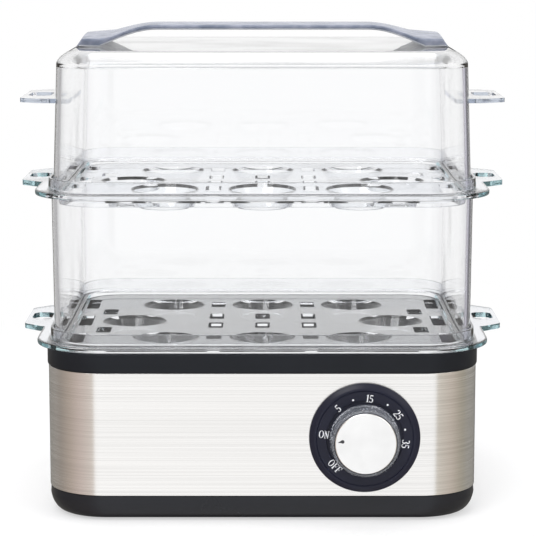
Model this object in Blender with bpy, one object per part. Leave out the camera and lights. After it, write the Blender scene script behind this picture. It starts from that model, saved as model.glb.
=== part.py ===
"""Two-tier electric egg boiler, at its real size.

Metres, +Z up. The front, with the dial, faces -Y. The origin is on the table, under the middle of the
whole object. Every piece hangs from one empty at the middle of the body.
"""

import math

import bmesh
import bpy
from mathutils import Vector

# Gaps between pieces
SEAT = 0.0003
OVERRUN = 0.004
RUNNING_GAP = 0.0004

# Roundness, in steps and sides
CORNER_STEPS = 5
ROUND_SIDES = 28
SMALL_SIDES = 14
SCREW_SIDES = 8
NUT_SIDES = 6
CURVE_STEPS = 6
LEAD_STEPS = 9
SHARP_ANGLE = math.radians(32)

# Body, outside of the steel band
BODY_WIDTH = 0.1935
BODY_DEPTH = 0.160
BODY_CORNER = 0.0265
FOOT_STAND = 0.0008
BASE_HEIGHT = 0.01105
BAND_HEIGHT = 0.05605
BAND_SHEET = 0.0006
COLLAR_HEIGHT = 0.0090
COLLAR_PROUD = 0.0005
COLLAR_EASE = 0.0012
SHELL_FLOOR = 0.0032
SHELL_TUCK = 0.0060
SHELL_TUCK_RISE = 0.0100
LIP_HEIGHT = 0.00375
SKIRT_DROP = 0.0059
LIP_WALL = 0.0020

# Posts, screws and feet under the body
POST_INSET_X = 0.01675
POST_INSET_Y = 0.0155
POST_RADIUS = 0.0045
BOSS_HEIGHT = 0.0120
PILOT_DEPTH = 0.0120
CASE_SCREW_RADIUS = 0.00175
CASE_SCREW_HEAD = 0.0032
CASE_SCREW_HEAD_THICK = 0.0023
CASE_SCREW_GRIP = 0.0100
HEAD_WELL = 0.0052
FOOT_RADIUS = 0.0070
FOOT_INSET_X = 0.0305
FOOT_INSET_Y = 0.0270
FOOT_SOCKET = 0.0012

# Middle ring, stepped in from the body
RING_STEP_X = 0.0031
RING_STEP_Y = 0.0020
RING_CORNER_STEP = 0.0040
RING_HEIGHT = 0.0645
RING_FLARE = 0.0005
CLEAR_WALL = 0.0020

# Egg trays; their flange stands out from the ring, and side seats and slots are set in from the pan wall
TRAY_LEDGE_X = 0.00805
TRAY_LEDGE_Y = 0.0053
TRAY_CORNER_STEP = 0.0075
FLANGE = 0.0024
RIM_STAND = 0.0054
RIM_WALL = 0.0015
RIM_CLEAR = 0.0005
RIM_DRAFT = 0.0003
PLUG_CLEAR = 0.0004
PLUG_DROP = 0.0037
PLUG_WALL = 0.0018
PLUG_DRAFT = 0.0004
TRAY_FLOOR = 0.0018
SEAT_TOP_RADIUS = 0.0150
SEAT_FOOT_RADIUS = 0.0100
SEAT_WALL = 0.0016
SEAT_DROP = 0.0074
SEAT_SIDE_INSET = 0.02845
SLOT_WIDTH = 0.0070
SLOT_SHORT = 0.0140
SLOT_LONG = 0.0260
SLOT_FLANK_INSET_X = 0.01545
SLOT_FLANK_OUTSET_Y = 0.0240
SLOT_SIDE_INSET_X = 0.00495
SLOT_SIDE_INSET_Y = 0.0278

# Ears of the trays and the lid; all reach as far out, past the edge of the tray's flange, and flare on
# their way back to that edge
EAR_LENGTH = 0.0097
EAR_CORNER = 0.0020
EAR_SLOT_CORNER = 0.0040
TRAY_EAR_DEPTH = 0.0410
TRAY_EAR_FLARE = 0.0090
TRAY_EAR_SLOT_WIDTH = 0.0094
TRAY_EAR_SLOT_DEPTH = 0.0170
TRAY_EAR_FRAME = 0.0020
LID_EAR_DEPTH = 0.0490
LID_EAR_FLARE = 0.0065
LID_EAR_THICK = 0.0020
LID_EAR_RISE = 0.0359
LID_EAR_SLOT_WIDTH = 0.0107
LID_EAR_SLOT_DEPTH = 0.0220
LID_EAR_FRAME = 0.0022

# Lid, stepped in from the ring
LID_STEP = 0.0004
LID_HEIGHT = 0.0615
LID_DRAFT = 0.00205
LID_SHOULDER = 0.0080
LID_SHOULDER_RISE = 0.0057

# Handle strap on the lid; its top is domed from front to back
HANDLE_HEIGHT = 0.0099
HANDLE_STRAP = 0.0027
HANDLE_DOME = 0.0020
HANDLE_FOOT_TOP = 0.0063
HANDLE_FOOT_FALL = 0.0011
HANDLE_FOOT_SLOPE = 0.0028
HANDLE_FOOT_OVERHANG = 0.0016
HANDLE_FOOT_WIDTH = 0.00945
HANDLE_STEP_INSET = 0.0143
HANDLE_STEP_LENGTH = 0.0205
HANDLE_DEPTH = 0.0380
HANDLE_FOOT_DEPTH = 0.0740
HANDLE_TIP_DEPTH = 0.0620
HANDLE_NECK_LENGTH = 0.0220
HANDLE_EDGE = 0.0006

# Heating dish, its seal and the ledge of the collar that carries them
OPENING_CLEAR = 0.0006
LEDGE_WIDTH = 0.0076
LEDGE_THICK = 0.0025
DISH_CORNER = 0.0340
DISH_HEADROOM = 0.0009
DISH_SHEET = 0.0010
DISH_RIM_CLEAR = 0.0004
DISH_WALL_CLEAR = 0.0008
DISH_DEPTH = 0.0096
DISH_SLOPE = 0.0060
SEAL_THICK = 0.0008
STUD_RADIUS = 0.0015
STUD_LENGTH = 0.0072
STUD_OFFSET = 0.0170
EARTH_STUD_X = 0.0360

# Heating element and thermostat
TUBE_RADIUS = 0.00325
ELEMENT_HALF_X = 0.0520
ELEMENT_HALF_Y = 0.0380
ELEMENT_CORNER = 0.0200
ELEMENT_LEG_X = 0.0090
ELEMENT_LEG_DROP = 0.0120
PIN_RADIUS = 0.0015
PIN_LENGTH = 0.0080
THERMO_FLANGE_RADIUS = 0.0105
THERMO_FLANGE_THICK = 0.0015
THERMO_BODY_RADIUS = 0.0078
THERMO_BODY_DROP = 0.0090
THERMO_TAB_OFFSET = 0.0045
THERMO_TAB_WIDTH = 0.0040
THERMO_TAB_THICK = 0.0008
THERMO_TAB_LENGTH = 0.0060
BRACKET_THICK = 0.0010
BRACKET_DEPTH = 0.0200
BRACKET_END = 0.0045
NUT_RADIUS = 0.0034
NUT_THICK = 0.0024
FUSE_RADIUS = 0.0022
FUSE_LENGTH = 0.0120
FUSE_DROP = 0.0290
FUSE_START_Y = 0.0120

# Dial, timer and knob, measured along their axis from the face of the steel
DIAL_INSET = 0.05125
DIAL_EDGE = 0.003175
DIAL_PROUD = 0.0028
DIAL_BEVEL = 0.0010
DIAL_BAND = 0.0036
DIAL_STEP = 0.0007
DIAL_WELL_BAND = 0.00355
DIAL_WELL_PROUD = 0.0016
SHAFT_RADIUS = 0.0030
SHAFT_FLAT = 0.0006
TIMER_CLEAR = 0.0017
PLATE_THICK = 0.0012
CASE_LAND = 0.0010
CASE_WALL = 0.0010
CASE_DEPTH = 0.0220
TIMER_SCREW_RADIUS = 0.0015
TIMER_SCREW_HEAD = 0.0026
TIMER_SCREW_HEAD_THICK = 0.0013
TIMER_SCREW_TAIL = 0.0012
PIVOT_RADIUS = 0.0015
CAM_DEPTH = 0.0022
CAM_THICK = 0.0030
CAM_NOTCH = 0.0012
CAM_NOTCH_ANGLE = math.radians(40)
GEAR_DEPTH = 0.0066
GEAR_THICK = 0.0018
GEAR_EDGE_CLEAR = 0.0009
GEAR_TEETH = 24
PINION_TEETH = 12
GEAR_BACKLASH = 0.00024
PINION_WIDER = 0.0003
ARBOR_RADIUS = 0.0010
ARBOR_WHEEL_LIFT = 0.0024
ARBOR_WHEEL_THICK = 0.0014
BARREL_DEPTH = 0.0098
BARREL_THICK = 0.0060
CONTACT_BLOCK_WIDTH = 0.0040
CONTACT_BLOCK_HEIGHT = 0.0056
LEAF_THICK = 0.0004
LEAF_GAP = 0.0016
LEAF_TAIL = 0.0014
LEAF_REACH = 0.0030
BELL_INSET = 0.0065
BELL_DEPTH = 0.0085
BELL_SHEET = 0.0009
BELL_POST = 0.0020
BELL_STAND = 0.0015
BELL_CROWN = 0.0045
BLADE_OFFSET_X = 0.0060
BLADE_INSET = 0.0033
BLADE_WIDTH = 0.0048
BLADE_THICK = 0.0008
BLADE_LENGTH = 0.0065
KNOB_REACH = 0.0130
KNOB_STAND = 0.0035
KNOB_SKIRT_WALL = 0.00215
KNOB_SKIRT_DRAFT = 0.0006
KNOB_FACE_RADIUS = 0.01375
KNOB_CAP_THICK = 0.0012
KNOB_CAP_DISH = 0.0003
KNOB_FRONT_WALL = 0.0020
KNOB_WALL = 0.0016
KNOB_HUB_RADIUS = 0.0058
KNOB_EASE = 0.0005

# Cord gland, terminal block and leads
GLAND_INSET = 0.03675
GLAND_Z = 0.0270
GLAND_OUT = 0.0085
GLAND_FLANGE_RADIUS = 0.0070
GLAND_FLANGE_THICK = 0.0020
GLAND_NECK_RADIUS = 0.0052
GLAND_TIP_RADIUS = 0.0046
GLAND_BORE = 0.0034
BLOCK_WIDTH = 0.0260
BLOCK_LENGTH = 0.0140
BLOCK_HEIGHT = 0.0100
BLOCK_INSET = 0.0160
BLOCK_PITCH = 0.0075
BLOCK_HOLE_DEPTH = 0.0050
BLOCK_SCREW_RADIUS = 0.0019
BLOCK_SCREW_HEIGHT = 0.0022
LEAD_RADIUS = 0.0012
LEAD_HOLE_CLEAR = 0.0005
LEAD_STUB = 0.0058

# Shapes given as shares of the sizes that they follow; seats in a tray's corners stand at shares of its
# pan, and slots between seats take shares of the free stretch there
SEAT_CORNER_SHARE_X = 0.4915
SEAT_CORNER_SHARE_Y = 0.61
SLOT_COLUMN_WIDTH_SHARE = 0.65
SLOT_INNER_PLACE_SHARE = 0.42
SLOT_INNER_LENGTH_SHARE = 0.49

# Shares of the can's radius in the timer, and of a gear's module
TIMER_SCREW_SHARE = 0.54
CAM_SHARE = 0.415
BARREL_SHARE = 0.366
ARBOR_WHEEL_SHARE = 0.244
CONTACT_BLOCK_SHARE = 0.634
GEAR_ADDENDUM_SHARE = 0.80
GEAR_DEDENDUM_SHARE = 1.20
PRESSURE_ANGLE = math.radians(20)

# Shares of a lead's span, and of a step in the lid's wall; the lid's shoulder is a straight slope at a
# power of one and a quarter of an ellipse at two
LEAD_REACH_SHARE = 0.35
LID_TURN_SHARE = 0.95
LID_SHOULDER_POWER = 1.3

# Levels, from the table up
FLOOR_TOP = FOOT_STAND + SHELL_FLOOR
BAND_FOOT = FOOT_STAND + BASE_HEIGHT
COLLAR_FOOT = BAND_FOOT + BAND_HEIGHT
COLLAR_TOP = COLLAR_FOOT + COLLAR_HEIGHT
LOWER_TRAY_LEVEL = COLLAR_TOP + SEAT
RING_LEVEL = LOWER_TRAY_LEVEL + FLANGE + SEAT
UPPER_TRAY_LEVEL = RING_LEVEL + RING_HEIGHT + SEAT
LID_LEVEL = UPPER_TRAY_LEVEL + FLANGE + SEAT
LID_TOP = LID_LEVEL + LID_HEIGHT
DISH_RIM_TOP = LOWER_TRAY_LEVEL - PLUG_DROP - DISH_HEADROOM
LEDGE_TOP = DISH_RIM_TOP - DISH_SHEET - SEAT - SEAL_THICK - SEAT
LEDGE_FOOT = LEDGE_TOP - LEDGE_THICK
DISH_FLOOR_FOOT = DISH_RIM_TOP - DISH_DEPTH - DISH_SHEET
LIP_TOP = BAND_FOOT + LIP_HEIGHT
SKIRT_FOOT = COLLAR_FOOT - SKIRT_DROP
BOSS_TOP = FLOOR_TOP + BOSS_HEIGHT
POST_FOOT = BOSS_TOP + SEAT
ELEMENT_LEVEL = DISH_FLOOR_FOOT - SEAT - TUBE_RADIUS
FUSE_LEVEL = DISH_FLOOR_FOOT - FUSE_DROP

# Half sizes in plan that follow from the sizes above
HALF_X = BODY_WIDTH / 2
HALF_Y = BODY_DEPTH / 2
RING_WIDTH = BODY_WIDTH - 2 * RING_STEP_X
RING_DEPTH = BODY_DEPTH - 2 * RING_STEP_Y
RING_CORNER = BODY_CORNER - RING_CORNER_STEP
RING_X = RING_WIDTH / 2
RING_Y = RING_DEPTH / 2
LID_WIDTH = RING_WIDTH - 2 * LID_STEP
LID_DEPTH = RING_DEPTH - 2 * LID_STEP
LID_CORNER = RING_CORNER - LID_STEP
LID_X = LID_WIDTH / 2
LID_Y = LID_DEPTH / 2
LID_FLAT_X = LID_X - LID_DRAFT - LID_SHOULDER
HANDLE_TOE_X = LID_FLAT_X + HANDLE_FOOT_OVERHANG
HANDLE_HEEL_X = LID_FLAT_X - HANDLE_FOOT_WIDTH
HANDLE_STEP_START = LID_FLAT_X - HANDLE_STEP_INSET
HANDLE_STEP_END = HANDLE_STEP_START - HANDLE_STEP_LENGTH
PLUG_X = RING_X - CLEAR_WALL - PLUG_CLEAR
PLUG_Y = RING_Y - CLEAR_WALL - PLUG_CLEAR
PLUG_CORNER = RING_CORNER - CLEAR_WALL - PLUG_CLEAR
PAN_X = PLUG_X - PLUG_WALL
PAN_Y = PLUG_Y - PLUG_WALL
PAN_CORNER = PLUG_CORNER - PLUG_WALL
SEAT_OUTER_RADIUS = SEAT_TOP_RADIUS + SEAT_WALL
SEAT_CORNER_X = PAN_X * SEAT_CORNER_SHARE_X
SEAT_CORNER_Y = PAN_Y * SEAT_CORNER_SHARE_Y
SEAT_SIDE_X = PAN_X - SEAT_SIDE_INSET
SLOT_COLUMN_X = SEAT_CORNER_X / 2
SLOT_COLUMN_WIDTH = (SEAT_CORNER_X - 2 * SEAT_OUTER_RADIUS) * SLOT_COLUMN_WIDTH_SHARE
SLOT_INNER_Y = (SEAT_CORNER_Y - SEAT_OUTER_RADIUS) * SLOT_INNER_PLACE_SHARE
SLOT_INNER_LENGTH = (SEAT_CORNER_Y - SEAT_OUTER_RADIUS) * SLOT_INNER_LENGTH_SHARE
SLOT_FLANK_X = PAN_X - SLOT_FLANK_INSET_X
SLOT_SIDE_X = PAN_X - SLOT_SIDE_INSET_X
SLOT_SIDE_Y = PAN_Y - SLOT_SIDE_INSET_Y
OPENING_X = PLUG_X + OPENING_CLEAR
OPENING_Y = PLUG_Y + OPENING_CLEAR
OPENING_CORNER = PLUG_CORNER + OPENING_CLEAR
LEDGE_X = OPENING_X - LEDGE_WIDTH
LEDGE_Y = OPENING_Y - LEDGE_WIDTH
INNER_X = HALF_X - BAND_SHEET - SEAT
INNER_Y = HALF_Y - BAND_SHEET - SEAT
INNER_CORNER = BODY_CORNER - BAND_SHEET - SEAT
POST_X = HALF_X - POST_INSET_X
POST_Y = HALF_Y - POST_INSET_Y
FOOT_X = HALF_X - FOOT_INSET_X
FOOT_Y = HALF_Y - FOOT_INSET_Y
TRAY_X = RING_X + TRAY_LEDGE_X
TRAY_Y = RING_Y + TRAY_LEDGE_Y
TRAY_CORNER = RING_CORNER + TRAY_CORNER_STEP
EAR_REACH = TRAY_X + EAR_LENGTH
DIAL_X = HALF_X - DIAL_INSET
GLAND_X = HALF_X - GLAND_INSET

# Timer stack, along the dial's axis from the face of the steel; inside is below zero
DIAL_Z = (LIP_TOP + SKIRT_FOOT) / 2
DIAL_RADIUS = BAND_HEIGHT / 2 - DIAL_EDGE
DIAL_SCALE_RADIUS = DIAL_RADIUS - DIAL_BAND
DIAL_WELL_RADIUS = DIAL_SCALE_RADIUS - DIAL_STEP - DIAL_WELL_BAND
TIMER_RADIUS = (SKIRT_FOOT - LIP_TOP) / 2 - TIMER_CLEAR
CASE_RADIUS = TIMER_RADIUS - CASE_LAND
CASE_INSIDE = CASE_RADIUS - CASE_WALL
TIMER_SCREW_OFFSET = CASE_RADIUS * TIMER_SCREW_SHARE
CAM_RADIUS = CASE_RADIUS * CAM_SHARE
BARREL_RADIUS = CASE_RADIUS * BARREL_SHARE
ARBOR_WHEEL_RADIUS = CASE_RADIUS * ARBOR_WHEEL_SHARE
CONTACT_BLOCK_X = CASE_RADIUS * CONTACT_BLOCK_SHARE
PLATE_TOP = -(BAND_SHEET + SEAT)
PLATE_FOOT = PLATE_TOP - PLATE_THICK
CASE_MOUTH = PLATE_FOOT - SEAT
CASE_BACK = CASE_MOUTH - CASE_DEPTH
CASE_FLOOR = CASE_BACK + CASE_WALL
CAM_TOP = CASE_MOUTH - CAM_DEPTH
CAM_FOOT = CAM_TOP - CAM_THICK
GEAR_TOP = CASE_MOUTH - GEAR_DEPTH
BARREL_TOP = CASE_MOUTH - BARREL_DEPTH
ARBOR_WHEEL_FOOT = CASE_FLOOR + ARBOR_WHEEL_LIFT
ARBOR_WHEEL_TOP = ARBOR_WHEEL_FOOT + ARBOR_WHEEL_THICK
GEAR_MODULE = (CASE_INSIDE - GEAR_EDGE_CLEAR) / (GEAR_TEETH / 2 + PINION_TEETH + GEAR_ADDENDUM_SHARE)
GEAR_CENTRES = GEAR_MODULE * (GEAR_TEETH + PINION_TEETH) / 2
BLADE_DROP = CASE_RADIUS - BLADE_INSET
BELL_RADIUS = CASE_RADIUS - BELL_INSET
BLADE_TOP = CASE_BACK - SEAT
KNOB_BODY_TOP = KNOB_REACH - KNOB_CAP_THICK - SEAT
KNOB_CAVITY_TOP = KNOB_BODY_TOP - KNOB_FRONT_WALL
SHAFT_TIP = KNOB_CAVITY_TOP - SEAT
KNOB_SKIRT_RADIUS = KNOB_FACE_RADIUS + KNOB_SKIRT_WALL
TIMER_SCREW_PLACES = ((TIMER_SCREW_OFFSET, 0, 0), (-TIMER_SCREW_OFFSET, 0, 0))

# Terminal block and the middle of the whole object from front to back
BLOCK_Y = HALF_Y - BLOCK_INSET - BLOCK_LENGTH
BLOCK_FOOT = FLOOR_TOP + SEAT
MIDDLE_Y = (KNOB_REACH - GLAND_OUT) / 2

# Turns that point a piece's own +Z to the front and to the rear
FRONT_TURN = (math.pi / 2, 0, 0)
REAR_TURN = (-math.pi / 2, 0, 0)


def clear_scene():
    for item in list(bpy.data.objects):
        bpy.data.objects.remove(item, do_unlink=True)


def make_material(name, colour, roughness, metallic=0.0, alpha=1.0):
    material = bpy.data.materials.new(name)
    material.use_nodes = True
    shader = material.node_tree.nodes["Principled BSDF"]
    shader.inputs["Base Color"].default_value = (*colour, 1.0)
    shader.inputs["Roughness"].default_value = roughness
    shader.inputs["Metallic"].default_value = metallic
    shader.inputs["Alpha"].default_value = alpha
    return material


def finish_mesh(name, mesh_data, material):
    """Turn a bmesh into a mesh with its faces out, smooth where it is round."""
    bmesh.ops.recalc_face_normals(mesh_data, faces=mesh_data.faces)
    mesh = bpy.data.meshes.new(name)
    mesh_data.to_mesh(mesh)
    mesh_data.free()
    mesh.shade_smooth()
    mesh.set_sharp_from_angle(angle=SHARP_ANGLE)
    if material:
        mesh.materials.append(material)
    return mesh


def hang(name, data, place=(0, 0, 0), turn=(0, 0, 0)):
    """Make an object of a mesh or curve, and hang it from the middle of the body."""
    piece = bpy.data.objects.new(name, data)
    bpy.context.scene.collection.objects.link(piece)
    piece.parent = bpy.data.objects["body_middle"]
    piece.location = place
    piece.rotation_euler = turn
    return piece


def add_piece(name, mesh_data, material, place=(0, 0, 0), turn=(0, 0, 0)):
    return hang(name, finish_mesh(name, mesh_data, material), place, turn)


def add_set(name, mesh_data, material, places, turn=(0, 0, 0)):
    """Add like pieces that share one mesh, numbered from one."""
    mesh = finish_mesh(name, mesh_data, material)
    for number, place in enumerate(places, 1):
        hang(f"{name}_{number}", mesh, place, turn)


def combine(piece, tool_data, operation):
    """Join a tool shape to a piece, or cut it away; the tool stays as a hidden guide."""
    tool = add_piece(piece.name + "_" + operation.lower(), tool_data, None,
                     piece.location, piece.rotation_euler)
    tool.hide_render = True
    tool.display_type = "WIRE"
    step = piece.modifiers.new(operation.lower(), "BOOLEAN")
    step.operation = operation
    step.object = tool
    step.solver = "EXACT"


def round_corners(half_x, half_y, radius):
    """Plan outline of a rectangle with round corners, anticlockwise."""
    points = []
    for quarter, (side_x, side_y) in enumerate(((1, 1), (-1, 1), (-1, -1), (1, -1))):
        for step in range(CORNER_STEPS + 1):
            angle = math.pi / 2 * (quarter + step / CORNER_STEPS)
            points.append((side_x * (half_x - radius) + radius * math.cos(angle),
                           side_y * (half_y - radius) + radius * math.sin(angle)))
    return points


def circle(radius, sides):
    """Plan outline of a circle, anticlockwise."""
    turns = [2 * math.pi * (side + 0.5) / sides for side in range(sides)]
    return [(radius * math.cos(turn), radius * math.sin(turn)) for turn in turns]


def skin(mesh_data, rings, closed):
    """Join rings of points into a solid: a closed tube of rings, or an open one with two caps."""
    rows = [[mesh_data.verts.new(point) for point in ring] for ring in rings]
    pairs = list(zip(rows, rows[1:]))
    if closed:
        pairs.append((rows[-1], rows[0]))
    else:
        mesh_data.faces.new(rows[0])
        mesh_data.faces.new(rows[-1])
    for low, high in pairs:
        for here in range(len(low)):
            after = (here + 1) % len(low)
            mesh_data.faces.new((low[here], low[after], high[after], high[here]))


def box_rings(sections):
    """Rings of points for sections given as half width, half depth, corner radius and level."""
    rings = []
    for half_x, half_y, radius, level in sections:
        rings.append([(x, y, level) for x, y in round_corners(half_x, half_y, radius)])
    return rings


def frame_solid(sections):
    """Solid that runs round a rectangle; its cross-section is the closed list of sections."""
    mesh_data = bmesh.new()
    skin(mesh_data, box_rings(sections), True)
    return mesh_data


def vessel_solid(sections):
    """Solid whose first and last sections are filled in, such as a lid or a pan."""
    mesh_data = bmesh.new()
    skin(mesh_data, box_rings(sections), False)
    return mesh_data


def add_prism(mesh_data, outline, low, high):
    """Add an upright solid with a plan outline, between two levels."""
    skin(mesh_data, [[(x, y, level) for x, y in outline] for level in (low, high)], False)


def add_block(mesh_data, low, high):
    """Add a square-edged block between two corners."""
    outline = ((low[0], low[1]), (high[0], low[1]), (high[0], high[1]), (low[0], high[1]))
    add_prism(mesh_data, outline, low[2], high[2])


def add_turned(mesh_data, profile, sides, place=(0, 0, 0)):
    """Add a turned solid; the profile lists radius and height, from pole to pole or as a loop."""
    rows = []
    for radius, height in profile:
        ring = circle(radius, sides) if radius else [(0, 0)]
        rows.append([mesh_data.verts.new(Vector(place) + Vector((x, y, height))) for x, y in ring])
    pairs = list(zip(rows, rows[1:]))
    if len(rows[0]) > 1:
        pairs.append((rows[-1], rows[0]))
    for low, high in pairs:
        for here in range(sides):
            after = (here + 1) % sides
            corners = [low[here % len(low)], low[after % len(low)],
                       high[after % len(high)], high[here % len(high)]]
            mesh_data.faces.new(list(dict.fromkeys(corners)))


def turned_solid(profile, sides, places=((0, 0, 0),)):
    mesh_data = bmesh.new()
    for place in places:
        add_turned(mesh_data, profile, sides, place)
    return mesh_data


def rod(radius, low, high):
    """Profile of a plain round rod between two heights."""
    return [(0, low), (radius, low), (radius, high), (0, high)]


def tube(outer, inner, low, high):
    """Profile of a plain tube between two heights."""
    return [(outer, low), (outer, high), (inner, high), (inner, low)]


def four_corners(x, y, level=0):
    return [(side_x * x, side_y * y, level) for side_x in (1, -1) for side_y in (1, -1)]


def smooth_step(share):
    return share * share * (3 - 2 * share)


def tube_along(name, route, radius, material):
    """Curve with a round section and flat ends through the points of a route."""
    curve = bpy.data.curves.new(name, "CURVE")
    curve.dimensions = "3D"
    curve.bevel_depth = radius
    curve.bevel_resolution = 2
    curve.use_fill_caps = True
    spline = curve.splines.new("POLY")
    spline.points.add(len(route) - 1)
    for point, place in zip(spline.points, route):
        point.co = (*place, 1)
    curve.materials.append(material)
    return curve


def add_lead(name, material, start, start_way, end, end_way):
    """Insulated lead between two terminals, on one smooth curve that leaves each of them straight."""
    first = Vector(start) + Vector(start_way) * LEAD_STUB
    last = Vector(end) + Vector(end_way) * LEAD_STUB
    reach = (last - first).length * LEAD_REACH_SHARE
    handles = (first, first + Vector(start_way) * reach, last + Vector(end_way) * reach, last)
    route = [start]
    for step in range(LEAD_STEPS + 1):
        share = step / LEAD_STEPS
        rest = 1 - share
        weights = (rest ** 3, 3 * rest ** 2 * share, 3 * rest * share ** 2, share ** 3)
        route.append(sum((handle * weight for handle, weight in zip(handles, weights)), Vector()))
    route.append(end)
    hang(name, tube_along(name, route, LEAD_RADIUS, material))


def make_base_shell(material):
    """Black bottom pan with a locating lip, screw bosses and foot sockets."""
    lip_x = INNER_X - LIP_WALL
    lip_y = INNER_Y - LIP_WALL
    lip_corner = INNER_CORNER - LIP_WALL
    sections = [(lip_x, lip_y, lip_corner, FLOOR_TOP),
                (lip_x, lip_y, lip_corner, LIP_TOP),
                (INNER_X, INNER_Y, INNER_CORNER, LIP_TOP),
                (INNER_X, INNER_Y, INNER_CORNER, BAND_FOOT),
                (HALF_X, HALF_Y, BODY_CORNER, BAND_FOOT)]
    for step in range(CURVE_STEPS // 2 + 1):
        angle = math.pi / 2 * step / (CURVE_STEPS // 2)
        inset = SHELL_TUCK * (1 - math.cos(angle))
        level = FOOT_STAND + SHELL_TUCK_RISE * (1 - math.sin(angle))
        sections.append((HALF_X - inset, HALF_Y - inset, BODY_CORNER - inset, level))
    shell = add_piece("base_shell", vessel_solid(sections), material)
    bosses = bmesh.new()
    for place in four_corners(POST_X, POST_Y):
        add_turned(bosses, rod(POST_RADIUS, FLOOR_TOP - SHELL_FLOOR / 2, BOSS_TOP), SMALL_SIDES, place)
    combine(shell, bosses, "UNION")
    well_top = FOOT_STAND + HEAD_WELL
    head_well = CASE_SCREW_HEAD + RUNNING_GAP
    hole = CASE_SCREW_RADIUS + RUNNING_GAP
    cuts = turned_solid([(0, FOOT_STAND - OVERRUN), (head_well, FOOT_STAND - OVERRUN), (head_well, well_top),
                         (hole, well_top), (hole, BOSS_TOP + OVERRUN), (0, BOSS_TOP + OVERRUN)],
                        SMALL_SIDES, four_corners(POST_X, POST_Y))
    for place in four_corners(FOOT_X, FOOT_Y):
        add_turned(cuts, rod(FOOT_RADIUS + RUNNING_GAP, FOOT_STAND - OVERRUN, FOOT_STAND + FOOT_SOCKET),
                   SMALL_SIDES, place)
    combine(shell, cuts, "DIFFERENCE")


def make_steel_band(material):
    """Brushed steel wrap between the shell and the collar, with the timer and gland holes."""
    low = BAND_FOOT + SEAT
    high = COLLAR_FOOT - SEAT
    inner_x = HALF_X - BAND_SHEET
    inner_y = HALF_Y - BAND_SHEET
    inner_corner = BODY_CORNER - BAND_SHEET
    band = add_piece("steel_band", frame_solid([(HALF_X, HALF_Y, BODY_CORNER, low),
                                                (HALF_X, HALF_Y, BODY_CORNER, high),
                                                (inner_x, inner_y, inner_corner, high),
                                                (inner_x, inner_y, inner_corner, low)]), material)
    cuts = bmesh.new()
    shaft_hole = SHAFT_RADIUS + 2 * TIMER_SCREW_RADIUS
    holes = [(DIAL_X, DIAL_Z, -HALF_Y, shaft_hole),
             (-GLAND_X, GLAND_Z, HALF_Y, GLAND_NECK_RADIUS + RUNNING_GAP)]
    for offset, _, _ in TIMER_SCREW_PLACES:
        holes.append((DIAL_X + offset, DIAL_Z, -HALF_Y, TIMER_SCREW_RADIUS + RUNNING_GAP))
    for x, z, y, radius in holes:
        rings = [[(x + across, y + along, z + up) for across, up in circle(radius, SMALL_SIDES)]
                 for along in (-OVERRUN, OVERRUN)]
        skin(cuts, rings, False)
    combine(band, cuts, "DIFFERENCE")


def make_top_collar(material):
    """Black frame round the dish: outer land, dish ledge, skirt inside the band and four posts."""
    rim_x = HALF_X + COLLAR_PROUD
    rim_y = HALF_Y + COLLAR_PROUD
    rim_corner = BODY_CORNER + COLLAR_PROUD
    skirt_x = INNER_X - LIP_WALL
    skirt_y = INNER_Y - LIP_WALL
    skirt_corner = INNER_CORNER - LIP_WALL
    sections = [(rim_x - COLLAR_EASE, rim_y - COLLAR_EASE, rim_corner - COLLAR_EASE, COLLAR_FOOT),
                (rim_x, rim_y, rim_corner, COLLAR_FOOT + COLLAR_EASE),
                (rim_x, rim_y, rim_corner, COLLAR_TOP - COLLAR_EASE),
                (rim_x - COLLAR_EASE, rim_y - COLLAR_EASE, rim_corner - COLLAR_EASE, COLLAR_TOP),
                (OPENING_X, OPENING_Y, OPENING_CORNER, COLLAR_TOP),
                (OPENING_X, OPENING_Y, OPENING_CORNER, LEDGE_TOP),
                (LEDGE_X, LEDGE_Y, DISH_CORNER, LEDGE_TOP),
                (LEDGE_X, LEDGE_Y, DISH_CORNER, LEDGE_FOOT),
                (skirt_x, skirt_y, skirt_corner, LEDGE_FOOT),
                (skirt_x, skirt_y, skirt_corner, SKIRT_FOOT),
                (INNER_X, INNER_Y, INNER_CORNER, SKIRT_FOOT),
                (INNER_X, INNER_Y, INNER_CORNER, COLLAR_FOOT)]
    collar = add_piece("top_collar", frame_solid(sections), material)
    posts = turned_solid(rod(POST_RADIUS, POST_FOOT, LEDGE_FOOT + LEDGE_THICK / 2), SMALL_SIDES,
                         four_corners(POST_X, POST_Y))
    combine(collar, posts, "UNION")
    pilots = turned_solid(rod(CASE_SCREW_RADIUS + RUNNING_GAP, POST_FOOT - OVERRUN, POST_FOOT + PILOT_DEPTH),
                          SCREW_SIDES, four_corners(POST_X, POST_Y))
    combine(collar, pilots, "DIFFERENCE")


def make_case_screws(material):
    seat_level = FOOT_STAND + HEAD_WELL - SEAT
    tip = BOSS_TOP + CASE_SCREW_GRIP - seat_level
    profile = [(0, -CASE_SCREW_HEAD_THICK), (CASE_SCREW_HEAD, -CASE_SCREW_HEAD_THICK), (CASE_SCREW_HEAD, 0),
               (CASE_SCREW_RADIUS, 0), (CASE_SCREW_RADIUS, tip), (0, tip)]
    add_set("case_screw", turned_solid(profile, SCREW_SIDES), material,
            four_corners(POST_X, POST_Y, seat_level))


def make_rubber_feet(material):
    foot_top = FOOT_STAND + FOOT_SOCKET - SEAT
    add_set("rubber_foot", turned_solid(rod(FOOT_RADIUS, 0, foot_top), SMALL_SIDES), material,
            four_corners(FOOT_X, FOOT_Y))


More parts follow.
